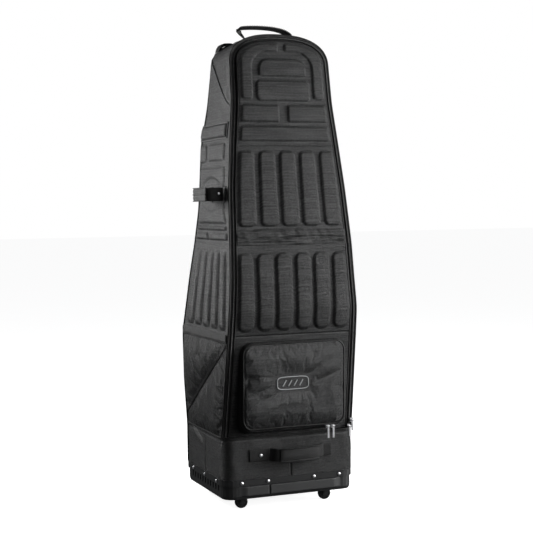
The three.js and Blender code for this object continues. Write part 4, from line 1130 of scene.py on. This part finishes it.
def pocket_grid(step=2.4):
    """x and z over the flap, in rows as wide as its rounded outline, closer together at its corners."""
    turn = np.linspace(0, math.pi / 2, 12)
    low = POCKET_LOW + POCKET_CORNER * (1 - np.cos(turn))
    high = POCKET_HIGH - POCKET_CORNER * (1 - np.cos(turn[::-1]))
    z = np.concatenate([low, np.linspace(low[-1], high[0], 51)[1:-1], high])
    z = np.interp(np.linspace(0, 1, counted(225, step)), np.linspace(0, 1, len(z)), z)
    from_arc = np.maximum(POCKET_CORNER - np.minimum(z - POCKET_LOW, POCKET_HIGH - z), 0)
    cut = POCKET_CORNER - np.sqrt(np.maximum(POCKET_CORNER**2 - from_arc**2, 0))
    s = np.linspace(-1, 1, counted(290, step))
    return s * (POCKET_HALF - cut)[:, None], np.repeat(z[:, None], len(s), 1)


def pocket_flap():
    """The padded flap: a crowned cushion with diagonal wrinkles, flat where the badge sits."""
    x, z = pocket_grid()
    rim = rounded_box(x, z, -POCKET_HALF, POCKET_HALF, POCKET_LOW, POCKET_HIGH, POCKET_CORNER)
    near = np.clip(rim / 40, 0, 1)
    swell = 6.5 * near * (2 - near) + 2.0 * ramp(rim, 0, 9)
    slope = (z - POCKET_MIDDLE) - 0.42 * (x - 20)
    wrinkles = 5.5 * noise((x + 0.9 * z + 900) / 130, (slope + 700) / 34, 51)
    wrinkles += 2.2 * noise((x + 900) / 48, (z - 0.3 * x + 700) / 22, 52)
    wrinkles += 2.6 * ridge(slope - 8, 10) * ramp(x, 20, 110) - 2.2 * ridge(slope + 12, 9) * ramp(x, 10, 90)
    badge_area = ramp(rounded_box(x, z, -60, 44, 321, 369, 8), -22, 0)
    height = swell + wrinkles * ramp(rim, 2, 26) * (1 - badge_area)
    grid = np.stack([x, pocket_face(z) - height, z], -1)
    pinned = (rim < 1.5) | (badge_area > 0.98)
    grid = settled(grid, pinned, excess=0.012, pressure=1.2, cap=4.0, away=np.array([0, -1.0, 0]))
    inner, hides = points_of(x, pocket_face(z) + 3.4, z), ["pocket_flap_panel"]
    return panel(
        "pocket_flap_cover", grid, inner, pairs(x, z), POCKET, "pocket_flap", hides, LINER
    )


def pocket_band(shares, thick=0.0):
    """Loops round the pocket's side wall from its face (0) to the door (1), each bulging by a height."""
    even = np.linspace(0, 1, 360, endpoint=False)

    def fit(loop):
        places = np.arange(len(loop) + 1)
        return [np.interp(even * len(loop), places, np.append(column, column[0])) for column in loop.T]

    (front_x, front_z), (back_x, back_z) = fit(pocket_outline(0.8, 1.6)), fit(pocket_outline(4.0, 15.0))
    near_y = pocket_face(front_z) + 4.4
    far_x = np.clip(back_x, -168, 168)
    far_y = np.maximum(door_surface(far_x, back_z, 0 * far_x)[:, 1] - 0.4, near_y + 3)
    away_x, away_z = np.array([front_x, front_z - POCKET_MIDDLE]) / np.hypot(front_x, front_z - POCKET_MIDDLE)
    loops = []
    for share, bulge in shares:
        x = front_x + (back_x - front_x) * share
        z = front_z + (back_z - front_z) * share
        sag = 6.0 * share * (1 - share**3) * np.clip(1 - (x / 150) ** 2, 0, 1) * (z < 300)
        out = bulge - thick
        y = near_y + (far_y - near_y) * share
        loops.append(np.stack([x + away_x * out, y, z - sag + away_z * out], -1))
    return loops


def pocket_wall():
    """The bellows between the flap and the door, its zip, and the cords along both of its edges."""
    x, z = pocket_outline(0.6, 0.6).T
    rim = np.stack([x, pocket_face(z) + 0.6, z], -1)
    cord("pocket_piping", rim, 2.7, (0, -1, 0), "pocket_flap", sides=10, loop=True)
    shares = [(0.0, 0.0), (0.08, 0.3), (0.2, -0.3), (0.3, -0.6), (0.4, -0.3)]
    shares += [(0.5, 0.8), (0.65, 1.6), (0.8, 1.4), (0.92, 0.8), (1.0, 0.0)]
    grid = np.stack(pocket_band(shares) + pocket_band(shares[::-1], 2.0), 1)
    uv = pairs(lengths(grid[:, 0])[:, None], np.arange(grid.shape[1])[None] * 3.0)
    add_rings("pocket_wall", grid, uv, TAPE, "door_lower", "woven_shell", ["pocket_gusset"], loop=True)
    (line,) = pocket_band([(0.3, 0.5)])
    closed = np.append(line, line[:1], 0)
    total = lengths(closed)[-1]
    path = resampled(closed, np.linspace(0, total, 4 * round(total / 2.6), endpoint=False))
    away = path * [1, 0, 1] - [0, 0, POCKET_MIDDLE]
    coil("pocket_zip_coil", path, circle(1.5, 6), away, "door_lower", loop=True)
    (line,) = pocket_band([(1.0, 1.2)])
    cord("pocket_base_piping", line, 1.6, (0, -1, 0), "door_lower", loop=True)


BADGE_X, BADGE_Z = -8.0, 345.0


def plate_ring(half_x, half_z, y):
    """A ring with the badge's outline, a rectangle with round corners."""
    angle = np.linspace(0, 2 * math.pi, 64, endpoint=False)
    c, s, power = np.cos(angle), np.sin(angle), 2 / 5
    x = BADGE_X + half_x * np.sign(c) * np.abs(c) ** power
    return points_of(x, y, BADGE_Z + half_z * np.sign(s) * np.abs(s) ** power)


def pocket_badge():
    """A plain raised plate with a rim and a pattern of bars."""
    face = pocket_face(BADGE_Z) - 7.2
    sizes = [(47, 19, 7), (47, 19, -0.6), (46, 18, -1.6), (43.5, 15.5, -1.6)]
    sizes += [(42.5, 14.5, -0.7), (20, 6, -0.7), (0.5, 0.2, -0.7)]
    grid = np.stack([plate_ring(half_x, half_z, face + out) for half_x, half_z, out in sizes])
    front, home = (0, -1, 0), ("pocket_flap", "hard_plastic")
    add_rings("pocket_badge_plate", grid, grid[..., ::2], BADGE, *home, ["pocket_badge"])
    # The bars and the rim are painted white: a painted glint in place of the shine of bright bars and a
    # bright frame.
    bars = []
    for middle in np.array([-24, -8, 8, 24]) + BADGE_X:
        path = np.linspace((middle - 5, face - 1.1, BADGE_Z - 8), (middle + 5, face - 1.1, BADGE_Z + 8), 8)
        bars.append(sweep("badge_bars", path, circle(1.6, 8), front, PAINTED_GLINT, *home))
    rim = plate_ring(44.6, 16.6, face - 1.7)
    bars.append(sweep("badge_rim", rim, circle(1.1, 6), front, PAINTED_GLINT, *home, loop=True))
    joined("badge_bars", bars)


flap = pocket_flap()
pocket_wall()
pocket_badge()

# ---- Handles ----
TOP_HANDLE_Y = -15.0
TOP_HANDLE = [
    (-60, 1272.5), (-66, 1279), (-73.5, 1287), (-76.5, 1295), (-73, 1299.5), (-62, 1301.2), (-35, 1303),
    (-5, 1303.2), (28, 1301), (52, 1296), (68, 1288.5), (72, 1282), (67, 1277.5), (59, 1273.0),
]


def on_arch(turn, y, out):
    """Points of the arch's outer face at a depth y, out millimetres beyond it."""
    turn, y = np.broadcast_arrays(np.asarray(turn, float), y)
    share = (y - ARCH_FRONT) / ARCH_DEPTH
    half, rise = ARCH_HALF - REAR_NARROWER * share, ARCH_RISE - REAR_LOWER * share
    x, z = superellipse(turn, half, rise)
    slope_x = np.sign(x) * (np.abs(x) / half) ** (ARCH_POWER - 1) / half
    slope_z = (np.maximum(z - ARCH_BASE, 0) / rise) ** (ARCH_POWER - 1) / rise
    size = np.hypot(slope_x, slope_z)
    return np.stack([x + out * slope_x / size, y, z + out * slope_z / size], -1)


def arch_tape(name, start, end, y, width, thick, out, material=STRAP):
    """Webbing that lies on the arch between two turns, at heights that follow out along it."""
    turn = np.linspace(start, end, 24) * math.pi
    path = on_arch(turn, y, np.interp(np.linspace(0, 1, 24), np.linspace(0, 1, len(out)), out))
    up = on_arch(turn, y, 10.0) - on_arch(turn, y, 0.0)
    return sweep(name, path, flat_section(width, thick), up, material, "shell", "webbing")


def top_handle():
    """The top strap, gathered towards both of its ends, and the patches that it is sewn to."""
    path = curve([(x, TOP_HANDLE_Y, z) for x, z in TOP_HANDLE], 2.5)
    place = np.arange(len(path))
    gathered = np.interp(place, [0, 3, 9, 14], [0.24, 0.38, 0.6, 1.0])
    gathered *= np.interp(place[::-1], [0, 3, 6], [0.3, 0.6, 1.0])
    tilt = 0.12
    strap("top_handle_webbing", path, 30, 6.4, (0, tilt, 1), "top_handle", ["top_handle_strap"], gathered)
    rows = [path[16:-12] + [0, shift, 3.3 - tilt * shift] for shift in (-12.2, 12.2)]
    stitches("top_handle_stitching", rows, "top_handle", up=(0, 0, 1))
    for word, middle in (("left", 0.652), ("right", 0.348)):
        low, high = middle - 0.034, middle + 0.034
        patch = arch_tape(f"top_handle_base_{word}", low, high, TOP_HANDLE_Y, 34, 2.0, [1.0, 1.0])
        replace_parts(patch, f"top_handle_patch_{word}")
        turns = np.array([middle - 0.03, middle + 0.03]) * math.pi
        seams = [on_arch(np.linspace(*turns, 12), y, 1.9) for y in (-29, -1)]
        seams += [on_arch(turn, np.linspace(-28, -2, 10), 1.9) for turn in turns]
        stitches(f"top_handle_base_stitching_{word}", seams, "shell", up=(0, 0, 1))


def ring_tab():
    """The left shoulder's tab of webbing, doubled over and bunched, that carries the ring."""
    layers = [
        arch_tape("ring_tab_webbing", 0.655, 0.90, 44, 34, 2.4, [1.4, 1.4, 1.8, 1.8, 1.6, 1.4, 1.4], PIPING),
        arch_tape("ring_tab_loop", 0.685, 0.828, 42, 32, 3.0, [3.4, 7.5, 11.5, 12.5, 9.5, 4.6], PIPING),
        arch_tape("ring_tab_fold", 0.70, 0.818, 43, 31, 5.0, [4.0, 5.5, 7.2, 7.8, 6.2, 4.2], PIPING),
    ]
    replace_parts(joined("ring_tab_webbing", layers), "ring_tab")
    lines = [on_arch(turn * math.pi, np.linspace(31, 61, 12), 2.7) for turn in (0.664, 0.672)]
    stitches("ring_tab_stitching", lines, "shell", up=(-0.4, 0, 1))


def grip(name, path, width, thick, up, body, hides, rows=(0.0,)):
    """A padded grip folded round a handle's strap, pressed in along its rows of stitching."""
    count = len(path)
    ends = np.minimum(np.arange(count), np.arange(count)[::-1]) / 4.0
    scale = 0.86 + 0.14 * np.sqrt(np.clip(ends, 0, 1))
    c, s = circle(1.0, 28).T
    across = width / 2 * np.sign(c) * np.abs(c) ** 0.45
    rise = thick / 2 * np.sign(s) * np.abs(s) ** 0.7
    dents = sum(ridge(across - row * width / 2, 2.2) for row in rows)
    section = np.stack([across, rise - 1.9 * dents * np.sign(rise)], -1)
    return sweep(name, path, section, up, STRAP, body, "padded_liner", hides, scale)


def binding(name, line, body, *cords):
    """Dark cords along a grip, each a radius and an offset from its middle line: sewn binding, except the
    front grip's thick lower cord, which is painted shadow under the grip.
    """
    pieces = [
        sweep(name, line + np.array(offset), circle(radius, 8), (0, 0, 1), PIPING, body, "webbing")
        for radius, offset in cords
    ]
    return joined(name, pieces)


# The side handle's middle line stands at SIDE_Z, out from the wall at WALL_X.
SIDE_Z = 846.5
WALL_X = -(at("front", SIDE_Z) + 3.5)
SIDE_HANDLE = [
    (-1, -136), (-22, -135.5), (-37, -133.5), (-41, -126), (-41.5, -100), (-41.5, -60), (-41, -32),
    (-37, -24), (-22, -21.5), (6, -21),
]
PATCH_LOW, PATCH_HIGH, PATCH_LONG = 825.0, 868.0, 24.0
PATCHES = {"front": -148.0, "rear": -33.0}


def side_patch(name, low, hides):
    """A reinforcing patch sewn flat on the left side, from a y backward."""
    outline = (low, low + PATCH_LONG, PATCH_LOW, PATCH_HIGH)
    y, z = spread(*outline, 13, 19)
    rise = 1.8 * np.sqrt(np.clip(rounded_box(y, z, *outline, 3) / 2.0, 0, 1))
    outer, inner = on_side(y, z, -1, 0.6 + rise), on_side(y, z, -1, -0.9)
    panel(name, outer, inner, pairs(y, z), STRAP, "shell", hides)


def side_handle():
    """The left side's loop of webbing with a padded grip, sewn down on a patch at both ends."""
    left = (-1, 0, 0)
    path = curve([(WALL_X + x, y, SIDE_Z) for x, y in SIDE_HANDLE])
    outward = np.cross(np.gradient(path, axis=0), [0, 0, -1.0])
    strap("side_handle_webbing", path, 35, 3.4, outward, "side_handle", ["side_handle_loop"])
    line = points_of(WALL_X - 43.2, np.linspace(-128, -28, 46), SIDE_Z)
    pad = grip("side_handle_pad", line, 36.5, 9.5, left, "side_handle", ["side_handle_grip"])
    stitches("side_handle_stitching", [line + [-4.3, 0, dz] for dz in (-14, 14)], "side_handle", up=left)
    cords = [(1.5, (-3.2, 0, -17.2)), (1.2, (-3.2, 0, 17.2)), (1.8, (-3.4, 0, 0))]
    binding("side_handle_binding", line, "side_handle", *cords)
    for word, low in PATCHES.items():
        side_patch(f"side_patch_{word}", low, [f"side_handle_patch_{word}"])
    for word, low in PATCHES.items():
        seam = box_sides(low + 2, low + PATCH_LONG - 2, PATCH_LOW + 2, PATCH_HIGH - 2, 8)
        rows = [on_side(*row.T, -1, 2.7) for row in seam]
        stitches(f"side_patch_stitching_{word}", rows, "shell", up=left)
    return pad


# The front handle's middle line, x and how far it stands out from the collar at NEAR, and z.
NEAR = -DEEP - 0.6
FRONT_HANDLE = [
    (-112, 2.0, 152), (-90, 2.4, 152), (-66, 3, 152), (-57, 9, 151.5), (-50, 17, 151), (-36, 21.5, 150.5),
    (-12, 23.5, 150), (15, 24, 150.5), (42, 23, 151), (66, 19.5, 151.5), (84, 12.5, 152), (93, 4, 152),
    (98, 2.2, 152), (116, 2.0, 152),
]


def front_handle():
    """The base's strap with a padded grip, between two tabs that are sewn to the collar."""
    front = (0, -1, 0)
    path = curve([(x, NEAR - out, z) for x, out, z in FRONT_HANDLE])
    loose, held = (path[(path[:, 0] > low) & (path[:, 0] < high)] for low, high in ((-66, 96), (-40, 74)))
    strap("front_handle_webbing", loose, 33, 2.8, front, "front_handle", ["front_handle_strap"])
    line = held + [0, -2.4, -0.6]
    hides = ["front_handle_grip"]
    pad = grip("front_handle_pad", line, 37, 8.5, front, "front_handle", hides, rows=(-0.72, 0.72))
    # The thick lower cord is painted shadow, a dark line where the grip shades the collar; the thin upper
    # cord is the grip's binding.
    binding("front_handle_binding_and_shadow_cord", line, "front_handle", (2.6, (0, -1.6, -17.6)), (1.2, (0, -2.8, 17.4)))
    for word, low, high in (("left", -119, -64.5), ("right", 94.5, 118)):
        tab = points_of(np.linspace(low, high, 20), NEAR - 1.4, 152.0)
        strap(f"front_tab_{word}", tab, 34, 2.2, front, "shell", [f"front_handle_tab_{word}"])
        seam = box_sides(low + 3, high - 3, 138, 166, 6)
        rows = [points_of(row[:, 0], NEAR - 2.6, row[:, 1]) for row in seam]
        stitches(f"front_tab_stitching_{word}", rows, "shell")
    return pad


top_handle()
ring_tab()
side_grip = side_handle()
front_grip = front_handle()


# ---- Hardware ----
RIM_RIVET_Z = 80.0


def rivet(name, centre, axis, sign, body, hides=(), radius=4.8, rise=2.4):
    """A domed rivet whose head faces along an axis, forward or backward by the sign."""
    angle = np.linspace(0, math.pi / 2, 9)
    cap = [(radius * math.sin(a) + 1e-3, rise * math.cos(a)) for a in angle]
    profile = np.array(cap + [(radius, -0.3), (radius * 0.8, -1.5), (0.05, -1.5)]) * [1, sign]
    lathe(name, profile, centre, axis, METAL, body, "plated_metal", hides, 20)


def rivets():
    """The rivets through the tray's rim, and one on each handle."""
    for k, x in enumerate((-142, -67, 67, 142), 1):
        rivet(f"front_rivet_{k}", (x, -DEEP - 0.9, RIM_RIVET_Z), "y", -1, "shell", [f"rivet_front_{k}"])
    for k, y in enumerate((-105, -10, 85), 1):
        rivet(f"left_rivet_{k}", (-WIDE - 0.9, y, RIM_RIVET_Z), "x", -1, "shell", [f"rivet_left_{k}"])
        rivet(f"right_rivet_{k}", (WIDE + 0.9, y, RIM_RIVET_Z), "x", 1, "shell")
    rivet("front_tab_rivet", (-88, NEAR - 3.2, 151), "y", -1, "shell", rise=2.2)
    end = (WALL_X - 13, -138.6, SIDE_Z + 2)
    rivet("side_handle_rivet", end, "y", -1, "side_handle", radius=3.6, rise=1.6)


def keep_cad(names, material, bevel=0.0, segments=2):
    """CAD nodes that already have their real shape get their material, and softened edges."""
    for name in names:
        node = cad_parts[name]
        node.data.materials.clear()
        node.data.materials.append(material)
        if bevel:
            modifier = node.modifiers.new("bevel", "BEVEL")
            modifier.width, modifier.segments, modifier.limit_method = bevel / 1000, segments, "ANGLE"
            modifier.angle_limit = math.radians(40)
            modifier.harden_normals = False


def kick_plates():
    """Two plates butted together along the tray's front, thinned almost to nothing at their outer ends."""
    low, high = box_of("front_kick_plate")
    size = high - low
    outline = (low[0], high[0], low[2], high[2])
    x, z = spread(*outline, counted(size[0], 1.4), counted(size[2], 1.6))
    rim = rounded_box(x, z, *outline, 2)
    ends = ramp(np.minimum(x - low[0], high[0] - x), 0, 24)
    thick = size[1] * (0.06 + 0.94 * ends) * (0.3 + 0.7 * np.sqrt(np.clip(rim / 1.8, 0, 1)))
    thick = thick * (1 - 0.85 * ridge(x + 62, 1.5)) + 0.5 * noise((x + 400) / 40, z / 30, 61) * ends
    outer, inner = points_of(x, high[1] - thick, z), points_of(x, high[1] + 0.6, z)
    panel("kick_plate_pair", outer, inner, pairs(x, z), KICK, "shell", ["front_kick_plate"])


def mirrored(profile):
    """Half a wheel's profile of (radius, along) followed by its other half."""
    return profile + [(radius, -along) for radius, along in profile[::-1]]


def wheels(word):
    """One side's caster wheel, turning about y, and rear tyre, turning about x."""
    low, high = box_of(f"caster_{word}_wheel")
    half, radius = (high[1] - low[1]) / 2, (high[2] - low[2]) / 2
    tread = mirrored([
        (2.4, 1.5 - half), (6, 1.5 - half), (6.5, -half), (9.5, -half), (10, 1.2 - half), (13, 1.2 - half),
        (13.6, 0.2 - half), (15.4, 0.3 - half), (16.8, 1.6 - half), (radius - 0.05, 4 - half), (radius, -1.2),
        (radius - 0.7, -0.6),
    ])
    home = (f"caster_{word}_roller", "wheel_rubber", [f"caster_{word}_wheel"])
    lathe(f"caster_wheel_{word}", tread, (low + high) / 2, "y", RUBBER, *home, 48)
    low, high = box_of(f"rear_tyre_{word}")
    half, radius = (high[0] - low[0]) / 2, (high[2] - low[2]) / 2
    tread = mirrored([
        (22.9, 0.8 - half), (25.5, -half), (27.8, 0.8 - half), (29.4, 3 - half), (radius, 6 - half),
        (radius, -4.2), (radius - 1.1, -3.6), (radius - 1.1, -2.6), (radius, -2.0),
    ])
    home = (f"rear_{word}_wheel", "wheel_rubber", [f"rear_tyre_{word}"])
    lathe(f"rear_tyre_rubber_{word}", tread, (low + high) / 2, "x", RUBBER, *home, 64, loop=True)


def floor_cushion():
    """The padded floor inside, quilted across."""
    outline = (-165, 165, -138, 90)
    x, y = spread(*outline, counted(330, 5), counted(228, 5))
    rim = rounded_box(x, y, *outline, 10)
    quilt = smallest(rim, np.abs(np.mod(x + 55, 110) - 55) - 1)
    top = 49.6 + puffed(quilt, 4.8, 12)
    outer, inner = points_of(x, y, top), points_of(x, y, 46.5)
    return panel("floor_cushion", outer, inner, pairs(x, y), LINER, "shell", ["floor_pad"])


rivets()
SIDES = ["left", "right"]
sliders = ["door_upper", "door_lower", "pocket_left", "pocket_right"]
keep_cad([f"{name}_{kind}" for name in sliders for kind in ("slider", "pull")], METAL, 0.35)
keep_cad(["hanging_ring"], METAL)
keep_cad(["base_tray"], PLASTIC, 0.9, 3)
kick_plates()
keep_cad([f"caster_{side}_plate" for side in SIDES], METAL, 0.4)
for kind in ("caster_{}_fork", "rear_housing_{}", "rear_hub_{}"):
    keep_cad([kind.format(side) for side in SIDES], PLASTIC, 0.6)
for side in SIDES:
    wheels(side)
floor_pad = floor_cushion()

# ---- The fold band and its cord, which ride on no body: their placement baked into their points ----
for piece in (fold, fold_cord):
    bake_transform(piece)

# ---- Floor and light ----
bpy.ops.mesh.primitive_plane_add(size=60, location=(0, 0, -0.0005))
floor = bpy.context.object
floor.name = "studio_floor"
floor.data.materials.append(pale_floor("pale_floor"))
floor.visible_diffuse = floor.visible_glossy = False


def softbox(name, azimuth, height, distance, size, power, aim=0.6):
    """A soft light at an azimuth from the front, positive to the right, aimed at a height on the case."""
    turn = math.radians(azimuth)
    light = bpy.data.lights.new(name, "AREA")
    light.shape, light.size, light.size_y, light.energy = "RECTANGLE", size[0], size[1], power
    lamp = placed(name, light)
    lamp.location = Vector((distance * math.sin(turn), -distance * math.cos(turn), height))
    lamp.rotation_euler = (Vector((0, 0, aim)) - lamp.location).to_track_quat("-Z", "Y").to_euler()


softbox("right_softbox", 64, 1.0, 2.6, (1.2, 2.2), 101)
softbox("front_softbox", 24, 1.5, 3.0, (1.4, 1.6), 33)
softbox("left_softbox", -132, 1.0, 1.35, (0.6, 0.6), 19, aim=0.9)
softbox("top_softbox", -112, 3.2, 1.6, (1.0, 1.0), 15)

# The camera sees a white backdrop, while the case is lit by a faint ambient light.
world = bpy.data.worlds.new("studio")
world.use_nodes = True
bpy.context.scene.world = world
nodes, links = world.node_tree.nodes, world.node_tree.links
nodes.clear()
paths = nodes.new("ShaderNodeLightPath")
mix, out = nodes.new("ShaderNodeMixShader"), nodes.new("ShaderNodeOutputWorld")
links.new(paths.outputs["Is Camera Ray"], mix.inputs[0])
for k, (colour, strength) in enumerate([((0.95, 0.97, 1, 1), 0.07), ((1, 1, 1, 1), 1.0)]):
    background = nodes.new("ShaderNodeBackground")
    background.inputs["Color"].default_value = colour
    background.inputs["Strength"].default_value = strength
    links.new(background.outputs[0], mix.inputs[k + 1])
links.new(mix.outputs[0], out.inputs[0])
bpy.context.scene.view_settings.view_transform = "Standard"
